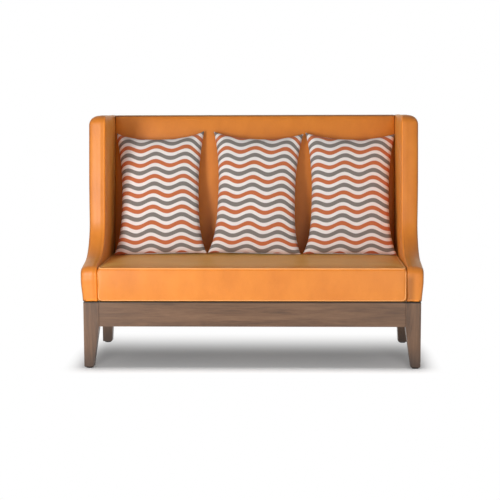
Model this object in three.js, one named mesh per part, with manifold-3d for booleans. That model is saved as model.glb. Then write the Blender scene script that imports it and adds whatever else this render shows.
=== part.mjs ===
import * as THREE from "three";
import { mergeVertices } from "three/addons/utils/BufferGeometryUtils.js";
import Module from "manifold-3d";

const wasm = await Module();
wasm.setup();

// A high back settee. A base of stained timber legs and aprons carries a box seat, a raked back and two
// wings that sweep down into low arms. Three scatter cushions lean on the back.
// Sizes are in millimetres. X runs to the viewer's right, Y from front to back and Z up. The origin is on
// the floor under the middle. Left and right are the viewer's, looking at the front.

// Overall sizes
const width = 1524;
const depth = 790;
const height = 1114;

// Clearances and cuts
const fit = 0.3; // between pieces that touch
const overrun = 30; // how far a cut runs past what it cuts
const mergeDistance = 0.001; // points nearer than this are one

// Base
const baseDepth = 642; // front face of the front legs to rear face of the rear legs
const baseFrontInset = 8; // behind the front of the upholstery
const baseSideInset = 12; // inside the outer faces of the wings
const frontLegWidth = 68;
const frontLegDepth = 60;
const frontFootWidth = 42;
const frontFootDepth = 40;
const rearLegWidth = 56;
const rearLegDepth = 50;
const rearFootWidth = 45;
const rearFootDepth = 44;
const footChamfer = 4;
const apronHeight = 110;
const apronThickness = 25;
const apronInset = 3.5; // behind the faces of the legs
const tenonLength = 15;
const tenonThickness = 10;
const tenonShoulder = 20;
const crossRailThickness = 28;
const crossRailHeight = 60;

// Corner blocks, leg bolts and glides
const blockHeight = 60;
const blockDepth = 25; // from the leg's inner corner to the slanted face
const boltRadius = 4;
const boltInLeg = 38;
const boltTail = 12; // thread, washer and nut inside the block's slanted face
const washerRadius = 11;
const washerThickness = 2;
const nutRadius = 7.5;
const nutHeight = 6.5;
const boltDrop = 30; // below the top of the base
const glideRadius = 15;
const glideHeight = 5;
const nailRadius = 2;
const nailLength = 18;

// Timber frame of the upholstery
const dustCoverThickness = 1;
const railThickness = 32;
const railHeight = 50;
const centreRailDrop = 16; // room for the webbing to give
const topRailHeight = 60;
const lowerRailHeight = 50;
const centrePostWidth = 40;
const wingPanelThickness = 26;
const wingPadding = 24; // from the cover's face to the wing panel
const backTopPadding = 24; // from the top of the back to its frame

// Webbing
const webbingThickness = 2;
const webbingWidth = 55;
const webbingEnd = 6; // bare timber beyond the end of a strap
const seatStraps = 8; // front to back
const seatCrossStraps = 3;
const backStraps = 7; // bottom to top
const backCrossStraps = 4;

// Covers
const coverThickness = 2;
const outsideBackThickness = 3;

// Seat
const seatHeight = 455; // top of the front edge
const seatBuild = 156; // from the base to the top of the front edge
const seatDepth = 580; // front face to the face of the back, at seat height
const seatDrop = 2; // the seat falls by this towards the back
const seatFrontPadding = 27; // from the front face to the frame
const seatEdgeRadius = 18;
const seatFrontRadius = 20;

// Back and wings
const bodyDepth = 660; // at the foot of the upholstery
const backThickness = 100; // at the top
const backEdgeRadius = 25;
const wingThickness = 76;
const wingTopDrop = 2; // the top edge falls by this towards the front
const wingSetBack = 353; // the wing's front edge at the top
const wingTopRadius = 40;
const elbowDepth = 281; // where the arm's line would meet the wing's front edge
const elbowRise = 46; // above the front of the arm
const elbowRadius = 190;
const noseRadius = 40;
const noseDrop = 55; // the vertical part of the arm's nose ends this far below its top
const toeSetBack = 12; // the foot of the arm's front face
const innerEdgeRadius = 8;
const outerEdgeRadius = 28;

// Scatter cushions
const cushionHeight = 606; // corner to corner
const cushionThickness = 124;
const cushionSideClearance = 7.5; // to the wings
const cushionGap = 11; // between cushions, at their bottom corners
const cushionTaper = 5; // each top corner stands in by this
const cushionDrawIn = 33; // the sides bow inwards by this
const cushionTopDip = 31;
const cushionBottomDip = 4;
const cushionSeam = 8; // thickness at the seam
const cushionWall = 2;
const cushionEar = 10; // the corners are sewn solid this far in
const zipLength = 340;
const zipThickness = 4;
const cushionLean = THREE.MathUtils.degToRad(20.5);
const cushionShifts = { left: 4, middle: 12, right: 5 };
const cushionTilts = {
  left: THREE.MathUtils.degToRad(-1.3),
  middle: THREE.MathUtils.degToRad(1.6),
  right: THREE.MathUtils.degToRad(0.8),
};

// Counts of chords in arcs and of cells in the cushions
const edgeChords = 3;
const noseChords = 5;
const elbowChords = 8;
const cornerChords = 4;
const hexagonSides = 6;
const boltSides = 2 * hexagonSides;
const pipingSides = 8;
const cushionColumns = 10;
const cushionRows = 12;
const crownPower = 2.4; // how square the cushion's crown is in plan
const crownShape = 0.5; // how steeply it rises from the seam
const upperBow = 2; // how straight the upper half of the sides is
const lowerBow = 3.5; // and the lower half

// Places that several pieces share
const front = -depth / 2;
const rear = depth / 2;
const baseHeight = seatHeight - seatBuild;
const taperHeight = baseHeight - apronHeight; // the legs taper below the aprons
const frameBottom = baseHeight + fit + dustCoverThickness + fit;
const railTop = frameBottom + railHeight;
const webbingTop = railTop + fit + webbingThickness;
const frameFront = front + seatFrontPadding;
const frameTop = height - backTopPadding;
const frameInset = outsideBackThickness + fit; // from the outside of the back to the frame
const frameFrontInset = frameInset + railThickness;
const paddingInset = frameFrontInset + fit + webbingThickness + fit;
const skinInset = coverThickness + fit; // from a cover's face to the padding
const wingOuter = width / 2;
const wingInner = wingOuter - wingThickness;
const wingPanelInner = wingInner + wingPadding;
const wingPanelOuter = wingPanelInner + wingPanelThickness;
const sideOuter = wingPanelInner - fit; // outer faces of the side rails and back posts
const sideInner = sideOuter - railThickness;
const seatHalf = wingInner - fit;
const seamInner = wingInner + innerEdgeRadius;
const seamOuter = wingOuter - innerEdgeRadius;
const legOuter = wingOuter - baseSideInset;
const legFront = front + baseFrontInset;
const legRear = legFront + baseDepth;

// The raked planes of the back, as Y at height z. A positive inset lies inside the back.
const outsideLean = Math.atan2(depth - bodyDepth, height - frameBottom);
const insideLean = Math.atan2(depth - backThickness - seatDepth, height - seatHeight);

function backOutside(z, inset = 0) {
  return rear - (height - z) * Math.tan(outsideLean) - inset / Math.cos(outsideLean);
}

function backInside(z, inset = 0) {
  return front + seatDepth + (z - seatHeight) * Math.tan(insideLean) + inset / Math.cos(insideLean);
}

function seatTop(y) {
  return seatHeight - (seatDrop * (y - front)) / seatDepth;
}

const frameRear = backOutside(frameBottom, frameInset);

// Materials
function matter(color, roughness, metalness = 0) {
  return new THREE.MeshStandardMaterial({ color, roughness, metalness, flatShading: true });
}

const walnut = matter(0x7a5f50, 0.5);
const glide = matter(0x2a2422, 0.6);
const steel = matter(0xa8a8a4, 0.35, 1);
const timber = matter(0xcaa978, 0.7);
const plywood = matter(0xb98f60, 0.7);
const webbing = matter(0x3a3632, 0.9);
const foam = matter(0xe9dfb8, 0.95);
const velvet = matter(0xe8924a, 0.85);
const backcloth = matter(0xd9863e, 0.85);
const dustCloth = matter(0x1e1d1d, 0.95);
const print = matter(0xd8cfca, 0.8);
const wadding = matter(0xf4f2ee, 0.95);
const zipTape = matter(0xcfcac4, 0.6);

// Solids

function solidOf(geometry) {
  const bare = geometry.clone();
  bare.deleteAttribute("normal");
  bare.deleteAttribute("uv");
  const merged = mergeVertices(bare, mergeDistance);
  return new wasm.Manifold(
    new wasm.Mesh({
      numProp: 3,
      vertProperties: merged.attributes.position.array,
      triVerts: new Uint32Array(merged.index.array),
    }),
  );
}

function geometryOf(solid) {
  const mesh = solid.getMesh();
  const geometry = new THREE.BufferGeometry();
  geometry.setAttribute("position", new THREE.BufferAttribute(mesh.vertProperties, mesh.numProp));
  geometry.setIndex(new THREE.BufferAttribute(mesh.triVerts, 1));
  geometry.computeVertexNormals();
  return geometry;
}

function box([x0, x1], [y0, y1], [z0, z1]) {
  const geometry = new THREE.BoxGeometry(x1 - x0, y1 - y0, z1 - z0);
  geometry.translate((x0 + x1) / 2, (y0 + y1) / 2, (z0 + z1) / 2);
  return solidOf(geometry);
}

// A closed geometry whose skin joins outlines with the same number of points. Each station says where it
// stands, and toSpace turns that and a point of the outline into a point in space.
function loft(stations, toSpace) {
  const count = stations[0].outline.length;
  const last = (stations.length - 1) * count;
  const points = stations.flatMap(({ at, outline }) => outline.map(([a, b]) => toSpace(at, a, b)));
  const flat = (outline) => outline.map(([a, b]) => new THREE.Vector2(a, b));
  const startCap = THREE.ShapeUtils.triangulateShape(flat(stations[0].outline), []);
  const endCap = THREE.ShapeUtils.triangulateShape(flat(stations.at(-1).outline), []);
  const faces = [
    ...startCap.map(([p, q, r]) => [r, q, p]),
    ...endCap.map(([p, q, r]) => [last + p, last + q, last + r]),
  ];
  for (let ring = 0; ring < last; ring += count) {
    for (let i = 0; i < count; i++) {
      const j = (i + 1) % count;
      faces.push([ring + i, ring + j, ring + count + j]);
      faces.push([ring + i, ring + count + j, ring + count + i]);
    }
  }
  const geometry = new THREE.BufferGeometry();
  geometry.setAttribute("position", new THREE.Float32BufferAttribute(points.flat(), 3));
  geometry.setIndex(faces.flat());
  return geometry;
}

const sideways = (x, y, z) => [x, y, z]; // outlines in Y and Z, stations along X
const upwards = (z, x, y) => [x, y, z]; // outlines in X and Y, stations along Z

function prism(outline, x0, x1) {
  return solidOf(
    loft(
      [
        { at: x0, outline },
        { at: x1, outline },
      ],
      sideways,
    ),
  );
}

// Outlines are corners listed anticlockwise. A corner has its place, the name of the edge that leaves it,
// and the radius and number of chords of the arc that rounds it.
function corner([a, b], edge, radius = 0, chords = 0) {
  return { place: new THREE.Vector2(a, b), edge, radius, chords };
}

// Where the lines stand whose normals and offsets are given.
function crossing(p, q) {
  const turn = p.normal.cross(q.normal);
  return new THREE.Vector2(
    (p.offset * q.normal.y - q.offset * p.normal.y) / turn,
    (q.offset * p.normal.x - p.offset * q.normal.x) / turn,
  );
}

function lineThrough(start, end, inward = 0) {
  const along = end.clone().sub(start).normalize();
  const normal = new THREE.Vector2(-along.y, along.x);
  return { along, normal, inward, offset: normal.dot(start) + inward };
}

// Where the line through p and q meets the line through r and s.
function meet(p, q, r, s) {
  const [first, second] = [
    [p, q],
    [r, s],
  ].map(([from, to]) => lineThrough(new THREE.Vector2(...from), new THREE.Vector2(...to)));
  return crossing(first, second).toArray();
}

// The points of an outline whose edges have moved inwards, each by the distance given for its name.
function outlineOf(corners, inward = {}) {
  const edges = corners.map(({ place, edge }, i) =>
    lineThrough(place, corners[(i + 1) % corners.length].place, inward[edge] ?? 0),
  );
  return corners.flatMap(({ radius, chords }, i) => {
    const before = edges.at(i - 1);
    const after = edges[i];
    const place = crossing(before, after);
    if (!chords) return [place.toArray()];
    const turn = Math.atan2(before.along.cross(after.along), before.along.dot(after.along));
    const side = Math.sign(turn);
    const rounding = Math.max(radius - side * before.inward, fit);
    const start = place.clone().addScaledVector(before.along, -rounding * Math.tan(Math.abs(turn) / 2));
    const centre = start.clone().addScaledVector(before.normal, side * rounding);
    return Array.from({ length: chords + 1 }, (_, k) =>
      start
        .clone()
        .rotateAround(centre, (turn * k) / chords)
        .toArray(),
    );
  });
}

// The stations of a rounded edge: how far each runs in from the end face, and how far its outline is inset.
function quarterRound(radius) {
  return Array.from({ length: edgeChords + 1 }, (_, k) => {
    const angle = (Math.PI / 2) * (k / edgeChords);
    return { run: radius * (1 - Math.cos(angle)), inset: radius * (1 - Math.sin(angle)) };
  });
}

// Stations from low to high X between two rounded ends, all of them a margin inside the full size.
function roundedStations([low, lowRadius], [high, highRadius], margin) {
  const start = quarterRound(lowRadius - margin).map(({ run, inset }) => ({
    x: low + margin + run,
    inset: margin + inset,
  }));
  const end = quarterRound(highRadius - margin).map(({ run, inset }) => ({
    x: high - margin - run,
    inset: margin + inset,
  }));
  return [...start, ...end.reverse()];
}

function roundedSolid(corners, low, high, margin, open) {
  const stations = roundedStations(low, high, margin).map(({ x, inset }) => ({
    at: x,
    outline: outlineOf(corners, { ...open, skin: inset }),
  }));
  return solidOf(loft(stations, sideways));
}

// The group and its pieces

const settee = new THREE.Group();
const base = new THREE.Group();
const frame = new THREE.Group();
const upholstery = new THREE.Group();
const cushions = new THREE.Group();
settee.add(base, frame, upholstery, cushions);

function add(group, name, solid, material) {
  const mesh = new THREE.Mesh(geometryOf(solid), material);
  mesh.name = name;
  group.add(mesh);
  return mesh;
}

// Adds a piece modelled for the right side and its mirror image on the left.
function addPair(group, nameOf, solid, material) {
  add(group, nameOf("right"), solid, material);
  add(group, nameOf("left"), solid, material).scale.x = -1;
}

// Base

const apronZ = [baseHeight - apronHeight, baseHeight];
const tenonZ = [apronZ[0] + tenonShoulder, apronZ[1] - tenonShoulder];

// A leg stands in a corner of the base. Its outer faces are upright and its inner faces taper. The way
// from its outer faces into the base is -1 in X, and inward in Y.
const legs = [
  {
    end: "front",
    face: legFront,
    inward: 1,
    top: [frontLegWidth, frontLegDepth],
    foot: [frontFootWidth, frontFootDepth],
  },
  {
    end: "rear",
    face: legRear,
    inward: -1,
    top: [rearLegWidth, rearLegDepth],
    foot: [rearFootWidth, rearFootDepth],
  },
].map((leg) => ({
  ...leg,
  innerX: legOuter - leg.top[0],
  innerY: leg.face + leg.inward * leg.top[1],
  apronY: leg.face + leg.inward * apronInset,
}));
const [frontLeg, rearLeg] = legs;

const sideApronX = [legOuter - apronInset - apronThickness, legOuter - apronInset];
const frontApronY = [frontLeg.apronY, frontLeg.apronY + apronThickness];
const rearApronY = [rearLeg.apronY - apronThickness, rearLeg.apronY];

function middleOf([low, high], thickness) {
  return [(low + high - thickness) / 2, (low + high + thickness) / 2];
}

function grown([low, high], by) {
  return [low - by, high + by];
}

function legGeometry({ face, inward, top, foot }) {
  const outlineAt = (z, chamfer) => {
    const share = Math.min(z / taperHeight, 1);
    const [w, d] = [0, 1].map((i) => THREE.MathUtils.lerp(foot[i], top[i], share));
    const ys = [face + inward * chamfer, face + inward * (d - chamfer)].sort((a, b) => a - b);
    const xs = [legOuter - w + chamfer, legOuter - chamfer];
    return [
      [xs[0], ys[0]],
      [xs[1], ys[0]],
      [xs[1], ys[1]],
      [xs[0], ys[1]],
    ];
  };
  const bottom = glideHeight + fit;
  const stations = [
    { at: bottom, outline: outlineAt(bottom, footChamfer) },
    { at: bottom + footChamfer, outline: outlineAt(bottom + footChamfer, 0) },
    { at: taperHeight, outline: outlineAt(taperHeight, 0) },
    { at: baseHeight, outline: outlineAt(baseHeight, 0) },
  ];
  return loft(stations, upwards);
}

// Apron tenons, as boxes in the right-hand half of the base. Grown by the fit, they are the mortises.
function apronTenons({ innerX, innerY, inward }, apronY) {
  const into = [innerY, innerY - inward * tenonLength].sort((a, b) => a - b);
  return [
    [[innerX, innerX + tenonLength], middleOf(apronY, tenonThickness), tenonZ],
    [middleOf(sideApronX, tenonThickness), into, tenonZ],
  ];
}

// Bolts run level along the diagonal, from the block's slanted face into the leg.
function boltPlacement({ innerX, innerY, inward }) {
  const into = new THREE.Vector3(1, -inward, 0).normalize();
  const start = new THREE.Vector3(innerX, innerY, baseHeight - boltDrop).addScaledVector(into, -blockDepth);
  const turn = new THREE.Quaternion().setFromUnitVectors(new THREE.Vector3(0, 0, 1), into);
  return new THREE.Matrix4().compose(start, turn, new THREE.Vector3(1, 1, 1));
}

function cylinder(radius, [low, high], sides) {
  const geometry = new THREE.CylinderGeometry(radius, radius, high - low, sides);
  geometry.rotateX(Math.PI / 2);
  geometry.translate(0, 0, (low + high) / 2);
  return geometry;
}

// A bolt with its washer and nut, as rings along its length. Every other point of a ring lies on the flat
// of a nut.
function boltSolid(placement) {
  const nutFace = -fit - washerThickness;
  const ring = (at, radius, flat = radius) => ({
    at,
    outline: Array.from({ length: boltSides }, (_, k) => {
      const angle = (2 * Math.PI * k) / boltSides;
      const reach = k % 2 ? flat : radius;
      return [reach * Math.cos(angle), reach * Math.sin(angle)];
    }),
  });
  const nutFlat = nutRadius * Math.cos(Math.PI / hexagonSides);
  const stations = [
    ring(-boltTail, boltRadius),
    ring(nutFace - nutHeight, boltRadius),
    ring(nutFace - nutHeight, nutRadius, nutFlat),
    ring(nutFace, nutRadius, nutFlat),
    ring(nutFace, washerRadius),
    ring(-fit, washerRadius),
    ring(-fit, boltRadius),
    ring(blockDepth + boltInLeg, boltRadius),
  ];
  return solidOf(loft(stations, (z, x, y) => new THREE.Vector3(x, y, z).applyMatrix4(placement).toArray()));
}

function boltHole(placement) {
  const hole = cylinder(boltRadius + fit, [-boltTail, blockDepth + boltInLeg + fit], boltSides);
  return solidOf(hole.applyMatrix4(placement));
}

function blockSolid({ face, innerX, innerY, inward }, apronInnerY) {
  const [apronX, apronY] = [sideApronX[0] - fit, apronInnerY + inward * fit];
  const reach = blockDepth * Math.SQRT2;
  const slantX = innerX - reach - inward * (innerY - apronY);
  const slantY = innerY + inward * (reach + apronX - innerX);
  const outline = [
    [slantX, apronY],
    [apronX, apronY],
    [apronX, slantY],
  ];
  if (inward < 0) outline.reverse();
  const stations = [baseHeight - blockHeight, baseHeight].map((at) => ({ at, outline }));
  const leg = [innerY + inward * fit, face].sort((a, b) => a - b);
  return solidOf(loft(stations, upwards)).subtract(
    box([innerX - fit, apronX + overrun], leg, grown([baseHeight - blockHeight, baseHeight], overrun)),
  );
}

function glideProfile(clearance) {
  const neck = nailRadius + clearance;
  const top = glideHeight + nailLength + clearance;
  return [
    [0, 0],
    [glideRadius, 0],
    [glideRadius, glideHeight],
    [neck, glideHeight],
    [neck, top],
    [0, top],
  ].map(([r, z]) => new THREE.Vector2(r, z));
}

function glideSolid({ face, inward, foot }, clearance = 0) {
  const geometry = new THREE.LatheGeometry(glideProfile(clearance), boltSides);
  geometry.rotateX(Math.PI / 2);
  geometry.translate(legOuter - foot[0] / 2, face + (inward * foot[1]) / 2, 0);
  return solidOf(geometry);
}

for (const place of legs) {
  const apronY = place === frontLeg ? frontApronY : rearApronY;
  const apronInnerY = place === frontLeg ? frontApronY[1] : rearApronY[0];
  const placement = boltPlacement(place);
  const hole = boltHole(placement);
  let leg = solidOf(legGeometry(place)).subtract(hole).subtract(glideSolid(place, fit));
  for (const [xs, ys, zs] of apronTenons(place, apronY)) {
    leg = leg.subtract(box(grown(xs, fit), grown(ys, fit), grown(zs, fit)));
  }
  addPair(base, (side) => `${place.end}_${side}_leg`, leg, walnut);
  addPair(base, (side) => `${place.end}_${side}_glide`, glideSolid(place), glide);
  addPair(
    base,
    (side) => `${place.end}_${side}_corner_block`,
    blockSolid(place, apronInnerY).subtract(hole),
    timber,
  );
  addPair(base, (side) => `${place.end}_${side}_leg_bolt`, boltSolid(placement), steel);

  const half = place.innerX - fit;
  const tenonEnd = place.innerX + tenonLength;
  const apron = box([-half, half], apronY, apronZ).add(
    box([-tenonEnd, tenonEnd], middleOf(apronY, tenonThickness), tenonZ),
  );
  add(base, `${place.end}_apron`, apron, walnut);
}

const sideApronY = [frontLeg.innerY + fit, rearLeg.innerY - fit];
const sideApron = box(sideApronX, sideApronY, apronZ).add(
  box(
    middleOf(sideApronX, tenonThickness),
    [frontLeg.innerY - tenonLength, rearLeg.innerY + tenonLength],
    tenonZ,
  ),
);
addPair(base, (side) => `${side}_apron`, sideApron, walnut);

const crossRail = box(
  [-crossRailThickness / 2, crossRailThickness / 2],
  [frontApronY[1] + fit, rearApronY[0] - fit],
  [baseHeight - crossRailHeight, baseHeight],
);
add(base, "base_cross_rail", crossRail, timber);

// Timber frame

const railZ = [frameBottom, railTop];
const frontRailY = [frameFront, frameFront + railThickness];
const rearRailY = [frameRear - railThickness, frameRear];
const sideX = [sideInner, sideOuter];
const betweenSides = [-sideInner + fit, sideInner - fit];

addPair(frame, (side) => `seat_${side}_rail`, box(sideX, [frameFront, frameRear], railZ), timber);
add(frame, "seat_front_rail", box(betweenSides, frontRailY, railZ), timber);
add(frame, "seat_rear_rail", box(betweenSides, rearRailY, railZ), timber);
add(
  frame,
  "seat_centre_rail",
  box(
    [-railThickness / 2, railThickness / 2],
    [frontRailY[1] + fit, rearRailY[0] - fit],
    [frameBottom, railTop - centreRailDrop],
  ),
  timber,
);

// A piece of the raked back between two insets from its outside and two heights.
function rakedPiece([x0, x1], [outerInset, innerInset], [z0, z1]) {
  const outline = [
    [backOutside(z0, innerInset), z0],
    [backOutside(z0, outerInset), z0],
    [backOutside(z1, outerInset), z1],
    [backOutside(z1, innerInset), z1],
  ];
  return prism(outline, x0, x1);
}

const framePlanes = [frameInset, frameFrontInset];
const topRailZ = [frameTop - topRailHeight, frameTop];
const lowerRailZ = [seatHeight - lowerRailHeight, seatHeight];
const postHalf = centrePostWidth / 2;

addPair(
  frame,
  (side) => `${side}_back_post`,
  rakedPiece(sideX, framePlanes, [railTop + fit, frameTop]),
  timber,
);
add(frame, "back_top_rail", rakedPiece(betweenSides, framePlanes, topRailZ), timber);
add(frame, "back_lower_rail", rakedPiece(betweenSides, framePlanes, lowerRailZ), timber);
add(
  frame,
  "centre_back_post",
  rakedPiece([-postHalf, postHalf], framePlanes, [lowerRailZ[1] + fit, topRailZ[0] - fit]),
  timber,
);

// Webbing: straps one way and the other, woven flat into one net

function evenly([low, high], count, strap) {
  const pitch = (high - low) / count;
  return Array.from({ length: count }, (_, i) => middleOf([low + i * pitch, low + (i + 1) * pitch], strap));
}

const webbingX = [-sideOuter + webbingEnd, sideOuter - webbingEnd];
const seatWebbingZ = [railTop + fit, webbingTop];
const seatWebbingY = [frameFront + webbingEnd, frameRear - webbingEnd];
const crossStrapY = [frontRailY[1], backOutside(webbingTop, frameFrontInset)];
const seatNet = [
  ...evenly(betweenSides, seatStraps, webbingWidth).map((xs) => box(xs, seatWebbingY, seatWebbingZ)),
  ...evenly(crossStrapY, seatCrossStraps, webbingWidth).map((ys) => box(webbingX, ys, seatWebbingZ)),
].reduce((a, b) => a.add(b));
add(upholstery, "seat_webbing", seatNet, webbing);

const webbingPlanes = [frameFrontInset + fit, frameFrontInset + fit + webbingThickness];
const backWebbingZ = [lowerRailZ[0] + webbingEnd, topRailZ[1] - webbingEnd];
const backNet = [
  ...evenly(betweenSides, backStraps, webbingWidth).map((xs) =>
    rakedPiece(xs, webbingPlanes, backWebbingZ),
  ),
  ...evenly([lowerRailZ[1], topRailZ[0]], backCrossStraps, webbingWidth).map((zs) =>
    rakedPiece(webbingX, webbingPlanes, zs),
  ),
].reduce((a, b) => a.add(b));
add(upholstery, "back_webbing", backNet, webbing);

// The space of the timber frame and its webbing, which the padding and covers keep out of
function frameSpace(x0, x1) {
  const bottom = frameBottom - overrun;
  const seatLevel = webbingTop + fit;
  const top = frameTop + fit;
  const outline = [
    [frameFront - fit, bottom],
    [rear + overrun, bottom],
    [rear + overrun, top],
    [backOutside(top, paddingInset), top],
    [backOutside(seatLevel, paddingInset), seatLevel],
    [frameFront - fit, seatLevel],
  ];
  return prism(outline, x0, x1);
}

const everyX = [-wingOuter - overrun, wingOuter + overrun];

// Seat

const seatRear = [frameBottom, seatHeight].map((z) => [backInside(z, -fit), z]);
const seatLine = [front, rear].map((y) => [y, seatTop(y)]);
const seatCorners = [
  corner([front, frameBottom], "bottom"),
  corner(seatRear[0], "skin"),
  corner(meet(...seatRear, ...seatLine), "skin"),
  corner([front, seatHeight], "skin", seatFrontRadius, cornerChords),
];

function seatSolid(margin, bottom = 0) {
  const ends = [-seatHalf, seatHalf].map((x) => [x, seatEdgeRadius]);
  return roundedSolid(seatCorners, ...ends, margin, { bottom });
}

const seatCover = seatSolid(0)
  .subtract(seatSolid(coverThickness, -overrun))
  .subtract(frameSpace(...everyX));
add(upholstery, "seat_cover", seatCover, velvet);
add(upholstery, "seat_foam", seatSolid(skinInset).subtract(frameSpace(...everyX)), foam);

// The piping is as thick as fits outside the rounded edge and within the seat's own faces.
const pipingRadius = ((Math.SQRT2 - 1) * seatEdgeRadius - fit) / (Math.SQRT2 + 1);

// A round cord along a level path, mitred where the path turns.
function cordSolid(path, radius) {
  const stations = path.map(([x, y], i) => {
    const here = new THREE.Vector2(x, y);
    const ways = [path[i - 1], path[i + 1]].filter(Boolean).map((p, k) => {
      const toward = new THREE.Vector2(...p).sub(here).normalize();
      return i > 0 && k === 0 ? toward.negate() : toward;
    });
    const along = ways.reduce((a, b) => a.clone().add(b)).normalize();
    const across = new THREE.Vector2(-along.y, along.x);
    const mitre = 1 / along.dot(ways[0]);
    return { here, across: across.multiplyScalar(mitre) };
  });
  const outline = Array.from({ length: pipingSides }, (_, k) => {
    const angle = (2 * Math.PI * k) / pipingSides;
    return [radius * Math.cos(angle), radius * Math.sin(angle)];
  });
  const rings = stations.map((at) => ({ at, outline }));
  return solidOf(
    loft(rings, ({ here, across }, a, b) => {
      const [x, y] = [here.x + across.x * a, here.y + across.y * a];
      return [x, y, seatTop(here.y) - radius + b];
    }),
  );
}

function pipingPath() {
  const turn = seatEdgeRadius - pipingRadius;
  const [centreX, centreY] = [seatHalf - seatEdgeRadius, front + seatEdgeRadius];
  const bend = Array.from({ length: cornerChords + 1 }, (_, k) => {
    const angle = (Math.PI / 2) * (k / cornerChords);
    return [centreX + turn * Math.sin(angle), centreY - turn * Math.cos(angle)];
  });
  const right = [...bend, [seatHalf - pipingRadius, backInside(seatHeight) - seatEdgeRadius]];
  const left = right.map(([x, y]) => [-x, y]).reverse();
  return [...left, ...right];
}
add(upholstery, "seat_piping", cordSolid(pipingPath(), pipingRadius), velvet);

// Top edge of the back and wings

const topFront = [front + wingSetBack, height - wingTopDrop];
const topRear = [rear, height];

// Inside back

const backRear = [webbingTop + fit, height].map((z) => [backOutside(z), z]);
const backFace = [webbingTop + fit, height].map((z) => [backInside(z), z]);
const backCorners = [
  corner(backFace[0], "bottom"),
  corner(backRear[0], "rear"),
  corner(topRear, "skin"),
  corner(meet(...backFace, topFront, topRear), "skin", backEdgeRadius, cornerChords),
];

function backPrism(inward) {
  return prism(outlineOf(backCorners, inward), -seatHalf, seatHalf);
}

const opened = { bottom: -overrun, rear: -overrun };
const insideBackCover = backPrism({}).subtract(
  prism(outlineOf(backCorners, { ...opened, skin: coverThickness }), ...everyX),
);
add(upholstery, "inside_back_cover", insideBackCover, velvet);
add(
  upholstery,
  "back_foam",
  backPrism({ skin: skinInset, rear: frameInset }).subtract(frameSpace(...everyX)),
  foam,
);

// Wings

const armTop = seatHeight;
const wingCorners = [
  corner([front + toeSetBack, frameBottom], "bottom"),
  corner([backOutside(frameBottom), frameBottom], "rear"),
  corner(topRear, "skin"),
  corner(topFront, "skin", wingTopRadius, noseChords),
  corner([front + elbowDepth, armTop + elbowRise], "skin", elbowRadius, elbowChords),
  corner([front, armTop], "skin", noseRadius, noseChords),
  corner([front, armTop - noseDrop], "skin"),
];

function wingSolid(margin, open) {
  const ends = [
    [wingInner, innerEdgeRadius],
    [wingOuter, outerEdgeRadius],
  ];
  return roundedSolid(wingCorners, ...ends, margin, open);
}

function slab(x0, x1) {
  return box([x0, x1], grown([front, rear], overrun), grown([0, height], overrun));
}

const wingShell = wingSolid(0, {}).subtract(wingSolid(coverThickness, opened));
const beyond = wingOuter + overrun;
const rearSlab = rakedPiece([0, beyond], [-overrun, frameInset], grown([frameBottom, height], overrun));
const insideCover = wingShell
  .subtract(slab(seamInner, beyond))
  .subtract(frameSpace(0, wingPanelInner))
  .subtract(rearSlab);
const wingBand = wingShell.subtract(slab(0, seamInner + fit)).subtract(slab(seamOuter, beyond));
const outsideCover = wingShell.subtract(slab(0, seamOuter + fit));
addPair(upholstery, (side) => `${side}_wing_inside_cover`, insideCover, velvet);
addPair(upholstery, (side) => `${side}_wing_band`, wingBand, velvet);
addPair(upholstery, (side) => `${side}_wing_outside_cover`, outsideCover, velvet);

const wingPanelSpace = prism(
  outlineOf(wingCorners, { ...opened, skin: wingPadding - fit }),
  wingPanelInner - fit,
  wingPanelOuter + fit,
);
const wingFoam = wingSolid(skinInset, { rear: frameInset })
  .subtract(wingPanelSpace)
  .subtract(frameSpace(0, wingPanelInner));
addPair(upholstery, (side) => `${side}_wing_foam`, wingFoam, foam);

const wingPanel = prism(
  outlineOf(wingCorners, { skin: wingPadding, rear: frameInset }),
  wingPanelInner,
  wingPanelOuter,
);
addPair(frame, (side) => `${side}_wing_panel`, wingPanel, plywood);

// Outside back and dust cover

const outsideBackLine = [frameBottom, height].map((z) => [backOutside(z, outsideBackThickness), z]);
const outsideBackCorners = [
  corner(outsideBackLine[0], "bottom"),
  corner([backOutside(frameBottom), frameBottom], "rear"),
  corner(topRear, "skin"),
  corner(meet(...outsideBackLine, topFront, topRear), "front"),
];
const outsideBack = roundedSolid(
  outsideBackCorners,
  [-wingOuter, outerEdgeRadius],
  [wingOuter, outerEdgeRadius],
  skinInset,
  {},
);
add(upholstery, "outside_back_cover", outsideBack, backcloth);

const dustCover = box(
  [-wingPanelOuter, wingPanelOuter],
  [frameFront, frameRear],
  [baseHeight + fit, baseHeight + fit + dustCoverThickness],
);
add(upholstery, "dust_cover", dustCover, dustCloth);

// Scatter cushions
// A cushion stands on its bottom seam, X across it, Y through it and Z up it.

const cushionSides = ["left", "middle", "right"];
const cushionPitch = (2 * (wingInner - cushionSideClearance) + cushionGap) / cushionSides.length;
const cushionWidth = cushionPitch - cushionGap;
const cushionMiddle = (cushionSides.length - 1) / 2;

// Places across the cushion from -1 to 1, closer together at the seams.
function spaced(count) {
  return Array.from({ length: count + 1 }, (_, i) => Math.sin((Math.PI / 2) * ((2 * i) / count - 1)));
}

function cushionPoint(u, v, side) {
  const bow = 1 - Math.abs(v) ** (v < 0 ? lowerBow : upperBow);
  const dip = 1 - u * u;
  const bottom = cushionBottomDip * dip;
  const top = cushionHeight - cushionTopDip * dip;
  const crown = ((1 - Math.abs(u) ** crownPower) * (1 - Math.abs(v) ** crownPower)) ** crownShape;
  return new THREE.Vector3(
    u * (cushionWidth / 2 - (cushionTaper * (v + 1)) / 2 - cushionDrawIn * bow),
    (side * (cushionSeam + (cushionThickness - cushionSeam) * crown)) / 2,
    THREE.MathUtils.lerp(bottom, top, (v + 1) / 2),
  );
}

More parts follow.
